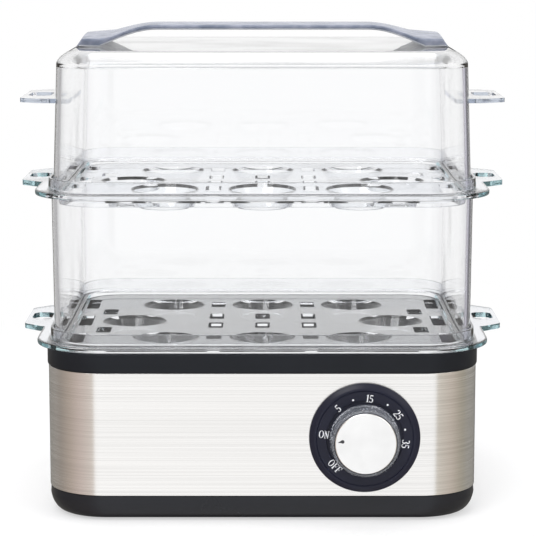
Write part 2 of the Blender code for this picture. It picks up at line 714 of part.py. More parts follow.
def make_heating_dish(material):
    """Pressed water pan with a flat rim, sloped walls and studs welded under its floor."""
    rim_x = OPENING_X - DISH_RIM_CLEAR
    rim_y = OPENING_Y - DISH_RIM_CLEAR
    rim_corner = OPENING_CORNER - DISH_RIM_CLEAR
    well_x = LEDGE_X - DISH_WALL_CLEAR
    well_y = LEDGE_Y - DISH_WALL_CLEAR
    well_corner = DISH_CORNER - DISH_WALL_CLEAR
    floor_top = DISH_FLOOR_FOOT + DISH_SHEET
    rim_foot = DISH_RIM_TOP - DISH_SHEET
    sections = [(well_x - DISH_SLOPE - DISH_SHEET, well_y - DISH_SLOPE - DISH_SHEET,
                 well_corner - DISH_SLOPE - DISH_SHEET, floor_top),
                (well_x - DISH_SHEET, well_y - DISH_SHEET, well_corner - DISH_SHEET, DISH_RIM_TOP),
                (rim_x, rim_y, rim_corner, DISH_RIM_TOP),
                (rim_x, rim_y, rim_corner, rim_foot),
                (well_x, well_y, well_corner, rim_foot),
                (well_x - DISH_SLOPE, well_y - DISH_SLOPE, well_corner - DISH_SLOPE, DISH_FLOOR_FOOT)]
    dish = add_piece("heating_dish", vessel_solid(sections), material)
    studs = turned_solid(rod(STUD_RADIUS, DISH_FLOOR_FOOT - STUD_LENGTH, DISH_FLOOR_FOOT + DISH_SHEET / 2),
                         SCREW_SIDES, [(STUD_OFFSET, 0, 0), (-STUD_OFFSET, 0, 0), (-EARTH_STUD_X, 0, 0)])
    combine(dish, studs, "UNION")


def make_dish_seal(material):
    outer_x = OPENING_X - DISH_RIM_CLEAR
    outer_y = OPENING_Y - DISH_RIM_CLEAR
    outer_corner = OPENING_CORNER - DISH_RIM_CLEAR
    low = LEDGE_TOP + SEAT
    high = low + SEAL_THICK
    add_piece("dish_seal", frame_solid([(outer_x, outer_y, outer_corner, low),
                                        (outer_x, outer_y, outer_corner, high),
                                        (LEDGE_X, LEDGE_Y, DISH_CORNER, high),
                                        (LEDGE_X, LEDGE_Y, DISH_CORNER, low)]), material)


def make_heating_element(tube_material, pin_material):
    """Sheathed tube in one loop under the dish, open at the rear, with two legs and cold pins."""
    bend = ELEMENT_CORNER / 2
    route = [(ELEMENT_LEG_X, ELEMENT_HALF_Y, ELEMENT_LEVEL - ELEMENT_LEG_DROP)]
    for step in range(CURVE_STEPS // 2 + 1):
        angle = math.pi / 2 * step / (CURVE_STEPS // 2)
        route.append((ELEMENT_LEG_X + bend * (1 - math.cos(angle)), ELEMENT_HALF_Y,
                      ELEMENT_LEVEL - bend * (1 - math.sin(angle))))
    for side_y in (1, -1):
        for step in range(CURVE_STEPS + 1):
            turn = math.pi / 2 * (step / CURVE_STEPS + (0 if side_y == 1 else 1))
            route.append((ELEMENT_HALF_X - ELEMENT_CORNER * (1 - math.sin(turn)),
                          side_y * (ELEMENT_HALF_Y - ELEMENT_CORNER) + ELEMENT_CORNER * math.cos(turn),
                          ELEMENT_LEVEL))
    route += [(-x, y, z) for x, y, z in reversed(route)]
    hang("heating_element", tube_along("heating_element", route, TUBE_RADIUS, tube_material))
    pin_foot = ELEMENT_LEVEL - ELEMENT_LEG_DROP - SEAT - PIN_LENGTH
    add_set("element_pin", turned_solid(rod(PIN_RADIUS, 0, PIN_LENGTH), SCREW_SIDES), pin_material,
            [(side * ELEMENT_LEG_X, ELEMENT_HALF_Y, pin_foot) for side in (1, -1)])


def make_thermostat(body_material, bracket_material, nut_material):
    """Snap disc thermostat held under the dish by a flat bracket and nuts on the studs."""
    flange_top = DISH_FLOOR_FOOT - SEAT
    flange_foot = flange_top - THERMO_FLANGE_THICK
    body_foot = flange_foot - THERMO_BODY_DROP
    profile = [(0, flange_top), (THERMO_FLANGE_RADIUS, flange_top), (THERMO_FLANGE_RADIUS, flange_foot),
               (THERMO_BODY_RADIUS, flange_foot), (THERMO_BODY_RADIUS, body_foot), (0, body_foot)]
    thermostat = add_piece("thermostat", turned_solid(profile, SMALL_SIDES), body_material)
    tabs = bmesh.new()
    for side in (1, -1):
        middle = side * THERMO_TAB_OFFSET
        add_block(tabs, (middle - THERMO_TAB_THICK / 2, -THERMO_TAB_WIDTH / 2, body_foot - THERMO_TAB_LENGTH),
                  (middle + THERMO_TAB_THICK / 2, THERMO_TAB_WIDTH / 2, body_foot + THERMO_TAB_LENGTH / 2))
    combine(thermostat, tabs, "UNION")

    bracket_top = flange_foot - SEAT
    bracket_foot = bracket_top - BRACKET_THICK
    plate = bmesh.new()
    add_prism(plate, round_corners(STUD_OFFSET + BRACKET_END, BRACKET_DEPTH / 2, BRACKET_END),
              bracket_foot, bracket_top)
    bracket = add_piece("thermostat_bracket", plate, bracket_material)
    cuts = turned_solid(rod(THERMO_BODY_RADIUS + RUNNING_GAP, bracket_foot - OVERRUN, bracket_top + OVERRUN),
                        SMALL_SIDES)
    for side in (1, -1):
        add_turned(cuts, rod(STUD_RADIUS + RUNNING_GAP, bracket_foot - OVERRUN, bracket_top + OVERRUN),
                   SCREW_SIDES, (side * STUD_OFFSET, 0, 0))
    combine(bracket, cuts, "DIFFERENCE")

    nut_top = bracket_foot - SEAT
    nut_places = [(STUD_OFFSET, 0, nut_top), (-STUD_OFFSET, 0, nut_top), (-EARTH_STUD_X, 0, flange_top)]
    add_set("stud_nut", turned_solid(tube(NUT_RADIUS, STUD_RADIUS + RUNNING_GAP, -NUT_THICK, 0), NUT_SIDES),
            nut_material, nut_places)


def front_place(across=0, up=0):
    """Where the dial's axis meets the face of the steel, or a point beside it on that face."""
    return (DIAL_X + across, -HALF_Y, DIAL_Z + up)


def add_front_piece(name, mesh_data, material, up=0):
    """Add a piece modelled along the dial's axis, with its own +Z facing the front."""
    return add_piece(name, mesh_data, material, front_place(0, up), FRONT_TURN)


def shaft_outline(radius):
    """Round shaft with one flat."""
    flat = radius - SHAFT_FLAT
    return [(x, min(y, flat)) for x, y in circle(radius, SMALL_SIDES)]


def gear_outline(teeth, turn):
    """Outline of a spur gear with involute flanks."""
    pitch_radius = GEAR_MODULE * teeth / 2
    base_radius = pitch_radius * math.cos(PRESSURE_ANGLE)
    tip = pitch_radius + GEAR_ADDENDUM_SHARE * GEAR_MODULE
    root = pitch_radius - GEAR_DEDENDUM_SHARE * GEAR_MODULE
    pitch_half = math.pi / (2 * teeth) - GEAR_BACKLASH / (4 * pitch_radius)
    pitch_involute = math.tan(PRESSURE_ANGLE) - PRESSURE_ANGLE

    def half_angle(radius):
        lean = math.acos(min(1, base_radius / radius))
        return pitch_half + pitch_involute - (math.tan(lean) - lean)

    start = max(root, base_radius)
    flank = [(root, half_angle(start)), (pitch_radius, half_angle(pitch_radius)), (tip, half_angle(tip))]
    points = []
    for tooth in range(teeth):
        middle = turn + 2 * math.pi * tooth / teeth
        for side, radii in ((-1, flank), (1, reversed(flank))):
            for radius, half in radii:
                angle = middle + side * half
                points.append((radius * math.cos(angle), radius * math.sin(angle)))
    return points


def cam_outline():
    """Switch cam: a disc with one notch in its rim."""
    points = []
    for x, y in circle(CAM_RADIUS, ROUND_SIDES):
        inside = abs(math.atan2(y, x)) < CAM_NOTCH_ANGLE / 2
        share = 1 - CAM_NOTCH / CAM_RADIUS if inside else 1
        points.append((x * share, y * share))
    return points


def make_dial_ring(material):
    """Escutcheon on the steel: raised rim, bevelled scale and a well that hides the screws."""
    hole = SHAFT_RADIUS + RUNNING_GAP
    screw_hole = TIMER_SCREW_RADIUS + RUNNING_GAP
    profile = [(DIAL_RADIUS, SEAT), (DIAL_RADIUS, DIAL_PROUD - DIAL_BEVEL),
               (DIAL_RADIUS - DIAL_BEVEL, DIAL_PROUD), (DIAL_SCALE_RADIUS, DIAL_PROUD),
               (DIAL_SCALE_RADIUS - DIAL_STEP, DIAL_PROUD - DIAL_STEP),
               (DIAL_WELL_RADIUS, DIAL_PROUD - DIAL_STEP), (DIAL_WELL_RADIUS, DIAL_WELL_PROUD),
               (hole, DIAL_WELL_PROUD), (hole, SEAT)]
    ring = add_front_piece("dial_ring", turned_solid(profile, ROUND_SIDES), material)
    cuts = turned_solid(rod(screw_hole, SEAT - OVERRUN, DIAL_WELL_PROUD + OVERRUN), SCREW_SIDES,
                        TIMER_SCREW_PLACES)
    combine(ring, cuts, "DIFFERENCE")


def make_timer(metal, screw_metal, brass, insulator):
    """Clockwork timer behind the steel: plate, can, shaft, cam, gears, barrel, contacts and bell."""
    hole = SHAFT_RADIUS + RUNNING_GAP
    screw_hole = TIMER_SCREW_RADIUS + RUNNING_GAP
    arbor_hole = ARBOR_RADIUS + RUNNING_GAP
    arbor_place = (0, GEAR_CENTRES, 0)
    disc = turned_solid(tube(TIMER_RADIUS, hole, PLATE_FOOT, PLATE_TOP), ROUND_SIDES)
    plate = add_front_piece("timer_plate", disc, metal)
    cuts = turned_solid(rod(screw_hole, PLATE_FOOT - OVERRUN, PLATE_TOP + OVERRUN), SCREW_SIDES,
                        TIMER_SCREW_PLACES)
    add_turned(cuts, rod(arbor_hole, PLATE_FOOT - OVERRUN, PLATE_TOP + OVERRUN), SCREW_SIDES, arbor_place)
    combine(plate, cuts, "DIFFERENCE")

    pivot_hole = PIVOT_RADIUS + RUNNING_GAP
    profile = [(CASE_RADIUS, CASE_BACK), (CASE_RADIUS, CASE_MOUTH), (CASE_INSIDE, CASE_MOUTH),
               (CASE_INSIDE, CASE_FLOOR), (pivot_hole, CASE_FLOOR), (pivot_hole, CASE_BACK)]
    case = add_front_piece("timer_case", turned_solid(profile, ROUND_SIDES), metal)
    cut = turned_solid(rod(arbor_hole, CASE_BACK - OVERRUN, CASE_FLOOR + OVERRUN), SCREW_SIDES, [arbor_place])
    combine(case, cut, "DIFFERENCE")

    head_foot = DIAL_WELL_PROUD + SEAT
    tail = PLATE_FOOT - TIMER_SCREW_TAIL
    head_top = head_foot + TIMER_SCREW_HEAD_THICK
    profile = [(0, tail), (TIMER_SCREW_RADIUS, tail), (TIMER_SCREW_RADIUS, head_foot),
               (TIMER_SCREW_HEAD, head_foot), (TIMER_SCREW_HEAD, head_top), (0, head_top)]
    add_set("timer_screw", turned_solid(profile, SCREW_SIDES), screw_metal,
            [front_place(across) for across, _, _ in TIMER_SCREW_PLACES], FRONT_TURN)

    shaft = bmesh.new()
    shoulder = CASE_FLOOR + SEAT
    pivot = circle(PIVOT_RADIUS, SMALL_SIDES)
    full = shaft_outline(SHAFT_RADIUS)
    levels = ((pivot, CASE_BACK), (pivot, shoulder), (full, shoulder), (full, SHAFT_TIP))
    skin(shaft, [[(x, y, level) for x, y in outline] for outline, level in levels], False)
    add_front_piece("timer_shaft", shaft, metal)

    bore = shaft_outline(SHAFT_RADIUS + SEAT)
    gear = gear_outline(GEAR_TEETH, math.pi / 2)
    drum = circle(BARREL_RADIUS, ROUND_SIDES)
    for name, outline, top, thick, material in (
            ("timer_cam", cam_outline(), CAM_TOP, CAM_THICK, insulator),
            ("timer_main_gear", gear, GEAR_TOP, GEAR_THICK, brass),
            ("mainspring_barrel", drum, BARREL_TOP, BARREL_THICK, brass)):
        solid = bmesh.new()
        add_prism(solid, outline, top - thick, top)
        piece = add_front_piece(name, solid, material)
        cut = bmesh.new()
        add_prism(cut, bore, top - thick - OVERRUN, top + OVERRUN)
        combine(piece, cut, "DIFFERENCE")

    teeth_foot = GEAR_TOP - GEAR_THICK - PINION_WIDER
    teeth_top = GEAR_TOP + PINION_WIDER
    arbor_top = PLATE_TOP - PLATE_THICK / 2
    profile = [(0, CASE_BACK), (ARBOR_RADIUS, CASE_BACK), (ARBOR_RADIUS, ARBOR_WHEEL_FOOT),
               (ARBOR_WHEEL_RADIUS, ARBOR_WHEEL_FOOT), (ARBOR_WHEEL_RADIUS, ARBOR_WHEEL_TOP),
               (ARBOR_RADIUS, ARBOR_WHEEL_TOP), (ARBOR_RADIUS, arbor_top), (0, arbor_top)]
    pinion = add_front_piece("timer_pinion", turned_solid(profile, SMALL_SIDES), brass, GEAR_CENTRES)
    teeth = bmesh.new()
    add_prism(teeth, gear_outline(PINION_TEETH, math.pi / 2 + math.pi / PINION_TEETH), teeth_foot, teeth_top)
    combine(pinion, teeth, "UNION")


def make_timer_contacts(insulator, brass):
    """Two leaf springs under the cam, held in a block behind the timer plate."""
    block_low = -CONTACT_BLOCK_X
    block_high = block_low + CONTACT_BLOCK_WIDTH
    leaf_tops = (-(CAM_RADIUS + SEAT), -(CAM_RADIUS + SEAT + LEAF_GAP))
    block_top = leaf_tops[0] + LEAF_GAP
    solid = bmesh.new()
    add_block(solid, (block_low, block_top - CONTACT_BLOCK_HEIGHT, CAM_FOOT - SEAT),
              (block_high, block_top, CASE_MOUTH))
    block = add_front_piece("contact_block", solid, insulator)
    slots = bmesh.new()
    for top in leaf_tops:
        add_block(slots, (block_low - OVERRUN, top - LEAF_THICK - SEAT, CAM_FOOT - OVERRUN),
                  (block_high + OVERRUN, top + SEAT, CAM_TOP + SEAT))
    combine(block, slots, "DIFFERENCE")
    leaf = bmesh.new()
    add_block(leaf, (block_low - LEAF_TAIL, -LEAF_THICK, CAM_FOOT), (LEAF_REACH, 0, CAM_TOP))
    add_set("contact_leaf", leaf, brass, [front_place(0, top) for top in leaf_tops], FRONT_TURN)


def make_timer_back(metal, brass):
    """Bell and terminal blades on the back of the timer can."""
    post_foot = CASE_BACK - SEAT
    rim = post_foot - BELL_STAND
    crown = rim - BELL_DEPTH + BELL_STAND
    inner_crown = crown + BELL_SHEET
    outer, inner = [], []
    for step in range(CURVE_STEPS // 2 + 1):
        angle = math.pi / 2 * step / (CURVE_STEPS // 2)
        outer.append((BELL_CROWN + (BELL_RADIUS - BELL_CROWN) * math.cos(angle),
                      rim - (rim - crown) * math.sin(angle)))
        inner.append((BELL_CROWN + (BELL_RADIUS - BELL_SHEET - BELL_CROWN) * math.cos(angle),
                      rim - (rim - inner_crown) * math.sin(angle)))
    post = [(BELL_POST, inner_crown), (BELL_POST, post_foot), (0, post_foot)]
    profile = [(0, crown)] + outer[::-1] + inner + post
    add_front_piece("timer_bell", turned_solid(profile, SMALL_SIDES), metal)
    blade = bmesh.new()
    add_block(blade, (-BLADE_WIDTH / 2, -BLADE_THICK / 2, BLADE_TOP - BLADE_LENGTH),
              (BLADE_WIDTH / 2, BLADE_THICK / 2, BLADE_TOP))
    add_set("timer_blade", blade, brass,
            [front_place(side * BLADE_OFFSET_X, -BLADE_DROP) for side in (1, -1)], FRONT_TURN)


def make_knob(body_material, skirt_material, cap_material):
    """Knob: hollow body on the shaft, ribbed skirt round it and a dished cap on its front."""
    body_radius = KNOB_FACE_RADIUS - SEAT
    inside = body_radius - KNOB_WALL
    body_profile = [(0, KNOB_BODY_TOP), (body_radius, KNOB_BODY_TOP), (body_radius, KNOB_STAND),
                    (inside, KNOB_STAND), (inside, KNOB_CAVITY_TOP), (KNOB_HUB_RADIUS, KNOB_CAVITY_TOP),
                    (KNOB_HUB_RADIUS, KNOB_STAND), (0, KNOB_STAND)]
    body = add_front_piece("knob_body", turned_solid(body_profile, ROUND_SIDES), body_material)
    bore = bmesh.new()
    add_prism(bore, shaft_outline(SHAFT_RADIUS + SEAT), KNOB_STAND - OVERRUN, KNOB_CAVITY_TOP)
    combine(body, bore, "DIFFERENCE")

    skirt_top = KNOB_REACH - KNOB_EASE
    skirt_inside = KNOB_FACE_RADIUS + SEAT
    tip_radius = KNOB_SKIRT_RADIUS - KNOB_SKIRT_DRAFT
    skirt_profile = [(KNOB_SKIRT_RADIUS, KNOB_STAND), (tip_radius, skirt_top - KNOB_EASE),
                     (tip_radius - KNOB_EASE, skirt_top), (skirt_inside, skirt_top),
                     (skirt_inside, KNOB_STAND)]
    add_front_piece("knob_skirt", turned_solid(skirt_profile, ROUND_SIDES), skirt_material)

    cap_foot = KNOB_BODY_TOP + SEAT
    cap_profile = [(0, KNOB_REACH - KNOB_CAP_DISH), (KNOB_FACE_RADIUS - KNOB_EASE, KNOB_REACH),
                   (KNOB_FACE_RADIUS, KNOB_REACH - KNOB_EASE), (KNOB_FACE_RADIUS, cap_foot), (0, cap_foot)]
    add_front_piece("knob_cap", turned_solid(cap_profile, ROUND_SIDES), cap_material)


def make_cord_gland(material):
    """Snap-in bush in the rear of the band, bored for the supply cord."""
    groove_foot = -(BAND_SHEET + SEAT)
    inner_face = groove_foot - GLAND_FLANGE_THICK
    outer_face = SEAT + GLAND_FLANGE_THICK
    profile = [(GLAND_BORE, inner_face), (GLAND_FLANGE_RADIUS, inner_face),
               (GLAND_FLANGE_RADIUS, groove_foot), (GLAND_NECK_RADIUS, groove_foot),
               (GLAND_NECK_RADIUS, SEAT), (GLAND_FLANGE_RADIUS, SEAT), (GLAND_FLANGE_RADIUS, outer_face),
               (GLAND_NECK_RADIUS, outer_face), (GLAND_TIP_RADIUS, GLAND_OUT), (GLAND_BORE, GLAND_OUT)]
    add_piece("cord_gland", turned_solid(profile, SMALL_SIDES), material, (-GLAND_X, HALF_Y, GLAND_Z),
              REAR_TURN)


def lead_places():
    """X of the three clamps of the terminal block: live, earth and neutral."""
    return [-GLAND_X + shift * BLOCK_PITCH for shift in (-1, 0, 1)]


def make_terminal_block(material, screw_material):
    """Clamp block on the floor of the shell, under the gland."""
    low = (-GLAND_X - BLOCK_WIDTH / 2, BLOCK_Y, BLOCK_FOOT)
    high = (-GLAND_X + BLOCK_WIDTH / 2, BLOCK_Y + BLOCK_LENGTH, BLOCK_FOOT + BLOCK_HEIGHT)
    solid = bmesh.new()
    add_block(solid, low, high)
    block = add_piece("terminal_block", solid, material)
    cuts = bmesh.new()
    level = BLOCK_FOOT + BLOCK_HEIGHT / 2
    radius = LEAD_RADIUS + LEAD_HOLE_CLEAR
    for x in lead_places():
        rings = [[(x + across, y, level + up) for across, up in circle(radius, SCREW_SIDES)]
                 for y in (BLOCK_Y - OVERRUN, BLOCK_Y + BLOCK_HOLE_DEPTH)]
        skin(cuts, rings, False)
    combine(block, cuts, "DIFFERENCE")
    add_set("terminal_screw", turned_solid(rod(BLOCK_SCREW_RADIUS, 0, BLOCK_SCREW_HEIGHT), SCREW_SIDES),
            screw_material, [(x, BLOCK_Y + BLOCK_LENGTH / 2, high[2] + SEAT) for x in lead_places()])


def make_leads(live_material, neutral_material, earth_material, fuse_material):
    """Internal wiring, each lead drawn whole from one terminal to the next."""
    live_x, earth_x, neutral_x = lead_places()
    block_y = BLOCK_Y + BLOCK_HOLE_DEPTH - SEAT
    block_z = BLOCK_FOOT + BLOCK_HEIGHT / 2
    blade_y = -HALF_Y - BLADE_TOP + BLADE_LENGTH + SEAT + LEAD_RADIUS
    blade_z = DIAL_Z - BLADE_DROP
    tab_z = DISH_FLOOR_FOOT - SEAT - THERMO_FLANGE_THICK - THERMO_BODY_DROP - THERMO_TAB_LENGTH - SEAT
    pin_z = ELEMENT_LEVEL - ELEMENT_LEG_DROP - PIN_LENGTH - SEAT - SEAT
    stud_z = DISH_FLOOR_FOOT - STUD_LENGTH - SEAT
    front, back, down = (0, -1, 0), (0, 1, 0), (0, 0, -1)
    fuse_end = FUSE_START_Y + FUSE_LENGTH
    add_lead("lead_live", live_material, (live_x, block_y, block_z), front,
             (DIAL_X + BLADE_OFFSET_X, blade_y, blade_z), back)
    add_lead("lead_timer_to_thermostat", live_material, (DIAL_X - BLADE_OFFSET_X, blade_y, blade_z), back,
             (THERMO_TAB_OFFSET, 0, tab_z), down)
    add_lead("lead_thermostat_to_fuse", live_material, (-THERMO_TAB_OFFSET, 0, tab_z), down,
             (-ELEMENT_LEG_X, FUSE_START_Y - SEAT, FUSE_LEVEL), front)
    add_piece("thermal_fuse", turned_solid(rod(FUSE_RADIUS, 0, FUSE_LENGTH), SCREW_SIDES), fuse_material,
              (-ELEMENT_LEG_X, FUSE_START_Y, FUSE_LEVEL), REAR_TURN)
    add_lead("lead_fuse_to_element", live_material, (-ELEMENT_LEG_X, fuse_end + SEAT, FUSE_LEVEL), back,
             (-ELEMENT_LEG_X, ELEMENT_HALF_Y, pin_z), down)
    add_lead("lead_neutral", neutral_material, (neutral_x, block_y, block_z), front,
             (ELEMENT_LEG_X, ELEMENT_HALF_Y, pin_z), down)
    add_lead("lead_earth", earth_material, (earth_x, block_y, block_z), front,
             (-EARTH_STUD_X, 0, stud_z), down)


def add_ears(mesh_data, root, depth, flare, low, high):
    """Add two ears, which flare from their tips back to the tray's edge and run straight on to the root."""
    tip = depth / 2
    base = tip + flare
    share = EAR_CORNER / EAR_LENGTH
    corner = [(EAR_REACH - EAR_CORNER, tip + flare * share), (EAR_REACH - EAR_CORNER / 4, tip),
              (EAR_REACH, tip - EAR_CORNER)]
    half = [(root, base), (TRAY_X, base)] + corner
    outline = half + [(x, -y) for x, y in reversed(half)]
    for side in (1, -1):
        add_prism(mesh_data, [(side * x, y) for x, y in outline], low, high)


def add_ear_slots(mesh_data, frame, width, depth, low, high):
    """Cutters for the round-cornered slot in each ear."""
    middle = EAR_REACH - frame - width / 2
    for side in (1, -1):
        outline = [(side * middle + x, y) for x, y in round_corners(width / 2, depth / 2, EAR_SLOT_CORNER)]
        add_prism(mesh_data, outline, low - OVERRUN, high + OVERRUN)


def seat_places():
    """Middles of the eight egg seats in plan."""
    places = [(0, SEAT_CORNER_Y, 0), (0, -SEAT_CORNER_Y, 0), (SEAT_SIDE_X, 0, 0), (-SEAT_SIDE_X, 0, 0)]
    return places + four_corners(SEAT_CORNER_X, SEAT_CORNER_Y)


def steam_slots():
    """Middle, width and length of each steam slot in plan."""
    column = four_corners(SLOT_COLUMN_X, SEAT_CORNER_Y)
    inner = four_corners(SLOT_COLUMN_X, SLOT_INNER_Y) + [(0, side * SLOT_INNER_Y, 0) for side in (1, -1)]
    flank = four_corners(SLOT_FLANK_X, SLOT_FLANK_OUTSET_Y)
    edge = four_corners(SLOT_SIDE_X, SLOT_SIDE_Y) + [(side * SLOT_SIDE_X, 0, 0) for side in (1, -1)]
    slots = []
    for places, width, length in ((column, SLOT_COLUMN_WIDTH, SLOT_SHORT),
                                  (inner, SLOT_WIDTH, SLOT_INNER_LENGTH),
                                  (flank, SLOT_WIDTH, SLOT_SHORT),
                                  (edge, SLOT_WIDTH, SLOT_LONG)):
        slots += [(x, y, width, length) for x, y, _ in places]
    return slots


def make_tray(name, level, material):
    """Egg tray: flange with an upstanding rim, floor on a plug, eight cup seats, slots and ears."""
    rim_x = RING_X + RIM_CLEAR
    rim_y = RING_Y + RIM_CLEAR
    rim_corner = RING_CORNER + RIM_CLEAR
    rim_top = level + FLANGE + RIM_STAND
    floor_foot = level - TRAY_FLOOR
    plug_foot = level - PLUG_DROP
    outer_wall = RIM_WALL - RIM_DRAFT
    sections = [(PAN_X - PLUG_DRAFT, PAN_Y - PLUG_DRAFT, PAN_CORNER - PLUG_DRAFT, level),
                (PAN_X, PAN_Y, PAN_CORNER, level + FLANGE),
                (rim_x, rim_y, rim_corner, level + FLANGE),
                (rim_x, rim_y, rim_corner, rim_top),
                (rim_x + outer_wall, rim_y + outer_wall, rim_corner + outer_wall, rim_top),
                (rim_x + RIM_WALL, rim_y + RIM_WALL, rim_corner + RIM_WALL, level + FLANGE),
                (TRAY_X, TRAY_Y, TRAY_CORNER, level + FLANGE),
                (TRAY_X, TRAY_Y, TRAY_CORNER, level),
                (PLUG_X, PLUG_Y, PLUG_CORNER, level),
                (PLUG_X - PLUG_DRAFT, PLUG_Y - PLUG_DRAFT, PLUG_CORNER - PLUG_DRAFT, plug_foot),
                (PAN_X, PAN_Y, PAN_CORNER, plug_foot),
                (PAN_X, PAN_Y, PAN_CORNER, floor_foot)]
    tray = add_piece(name, vessel_solid(sections), material)

    lean = (SEAT_TOP_RADIUS - SEAT_FOOT_RADIUS) / SEAT_DROP
    cup_top = level - TRAY_FLOOR / 2
    cup_foot = level - SEAT_DROP
    cup_top_radius = SEAT_TOP_RADIUS - lean * TRAY_FLOOR / 2 + SEAT_WALL
    cup_profile = [(0, cup_foot), (SEAT_FOOT_RADIUS + SEAT_WALL, cup_foot), (cup_top_radius, cup_top),
                   (0, cup_top)]
    combine(tray, turned_solid(cup_profile, SMALL_SIDES, seat_places()), "UNION")

    ears = bmesh.new()
    add_ears(ears, rim_x + RIM_WALL, TRAY_EAR_DEPTH, TRAY_EAR_FLARE, level, level + FLANGE)
    combine(tray, ears, "UNION")

    hole_profile = [(0, cup_foot - OVERRUN), (SEAT_FOOT_RADIUS - lean * OVERRUN, cup_foot - OVERRUN),
                    (SEAT_TOP_RADIUS + lean * OVERRUN, level + OVERRUN), (0, level + OVERRUN)]
    cuts = turned_solid(hole_profile, SMALL_SIDES, seat_places())
    for x, y, width, length in steam_slots():
        add_block(cuts, (x - width / 2, y - length / 2, floor_foot - OVERRUN),
                  (x + width / 2, y + length / 2, level + OVERRUN))
    add_ear_slots(cuts, TRAY_EAR_FRAME, TRAY_EAR_SLOT_WIDTH, TRAY_EAR_SLOT_DEPTH, level, level + FLANGE)
    combine(tray, cuts, "DIFFERENCE")


def make_middle_ring(material):
    """Clear wall between the trays, a little wider at its top."""
    sections = []
    for outset, level in ((0, RING_LEVEL), (RING_FLARE, RING_LEVEL + RING_HEIGHT),
                          (RING_FLARE - CLEAR_WALL, RING_LEVEL + RING_HEIGHT), (-CLEAR_WALL, RING_LEVEL)):
        sections.append((RING_X + outset, RING_Y + outset, RING_CORNER + outset, level))
    add_piece("middle_ring", frame_solid(sections), material)


def lid_shoulder():
    """Inset and drop of each row of the lid's shoulder, from its wall to the edge of its flat top."""
    rows = []
    for step in range(CORNER_STEPS + 1):
        angle = math.pi / 2 * step / CORNER_STEPS
        rows.append((LID_DRAFT + LID_SHOULDER * (1 - math.cos(angle) ** LID_SHOULDER_POWER),
                     LID_SHOULDER_RISE * (1 - math.sin(angle) ** LID_SHOULDER_POWER)))
    return rows


def lid_sections(inset, top):
    """Sections of one side of the lid's wall, from the mouth to the edge of the flat top."""
    rows = [(0, LID_LEVEL)] + [(step, top - drop) for step, drop in lid_shoulder()]
    return [(LID_X - inset - step, LID_Y - inset - step, LID_CORNER - inset - step * LID_TURN_SHARE, level)
            for step, level in rows]


def make_lid(material):
    """Clear lid with a round shoulder and two slotted ears."""
    inner = lid_sections(CLEAR_WALL, LID_TOP - CLEAR_WALL)
    outer = lid_sections(0, LID_TOP)
    lid = add_piece("lid", vessel_solid(inner[::-1] + outer), material)
    ear_foot = LID_LEVEL + LID_EAR_RISE
    ear_top = ear_foot + LID_EAR_THICK
    ears = bmesh.new()
    add_ears(ears, LID_X - LID_DRAFT - CLEAR_WALL / 2, LID_EAR_DEPTH, LID_EAR_FLARE, ear_foot, ear_top)
    combine(lid, ears, "UNION")
    slots = bmesh.new()
    add_ear_slots(slots, LID_EAR_FRAME, LID_EAR_SLOT_WIDTH, LID_EAR_SLOT_DEPTH, ear_foot, ear_top)
    combine(lid, slots, "DIFFERENCE")


def handle_side(fall):
    """Side view of the strap, as X and level, where its domed top is lower by a fall."""
    foot = LID_TOP + SEAT
    inner, edge = lid_shoulder()[-2:]
    toe_drop = HANDLE_FOOT_OVERHANG * inner[1] / (edge[0] - inner[0])
    top = LID_TOP + HANDLE_HEIGHT
    shelf = LID_TOP + HANDLE_FOOT_TOP - fall
    under = top - HANDLE_STRAP
    half = []
    for step in range(CURVE_STEPS + 1):
        share = 1 - step / CURVE_STEPS
        half.append((HANDLE_HEEL_X - (HANDLE_HEEL_X - HANDLE_STEP_END) * share,
                     foot + (under - foot) * math.sin(math.pi / 2 * share)))
    half += [(LID_FLAT_X, foot), (HANDLE_TOE_X, foot - toe_drop),
             (HANDLE_TOE_X - HANDLE_FOOT_SLOPE, shelf - HANDLE_FOOT_FALL)]
    for step in range(CURVE_STEPS + 1):
        share = step / CURVE_STEPS
        half.append((HANDLE_STEP_START - HANDLE_STEP_LENGTH * share,
                     shelf + (top - fall - shelf) * math.sin(math.pi / 2 * share)))
    return half + [(-x, z) for x, z in reversed(half)]


def handle_plan():
    """Top view of the strap: feet that are widest at their heels, and a narrower middle."""
    half = [(LID_X, HANDLE_TIP_DEPTH / 2), (HANDLE_TOE_X, HANDLE_TIP_DEPTH / 2)]
    for step in range(CURVE_STEPS + 1):
        share = step / CURVE_STEPS
        half.append((HANDLE_HEEL_X - HANDLE_NECK_LENGTH * share,
                     (HANDLE_FOOT_DEPTH - (HANDLE_FOOT_DEPTH - HANDLE_DEPTH) * smooth_step(share)) / 2))
    back = half + [(-x, y) for x, y in reversed(half)]
    return back + [(x, -y) for x, y in reversed(back)]


def make_lid_handle(material):
    """Smoked strap: its domed side view pushed through its top view."""
    solid = bmesh.new()
    rings = []
    for step in range(-CURVE_STEPS, CURVE_STEPS + 1):
        share = step / CURVE_STEPS
        y = (HANDLE_FOOT_DEPTH / 2 + OVERRUN) * share
        rings.append([(x, y, z) for x, z in handle_side(HANDLE_DOME * share * share)])
    skin(solid, rings, False)
    handle = add_piece("lid_handle", solid, material)
    plan = bmesh.new()
    add_prism(plan, handle_plan(), LID_TOP - LID_SHOULDER, LID_TOP + HANDLE_HEIGHT + OVERRUN)
    combine(handle, plan, "INTERSECT")
    edge = handle.modifiers.new("edge", "BEVEL")
    edge.width = HANDLE_EDGE
    edge.segments = 1
    edge.limit_method = "ANGLE"


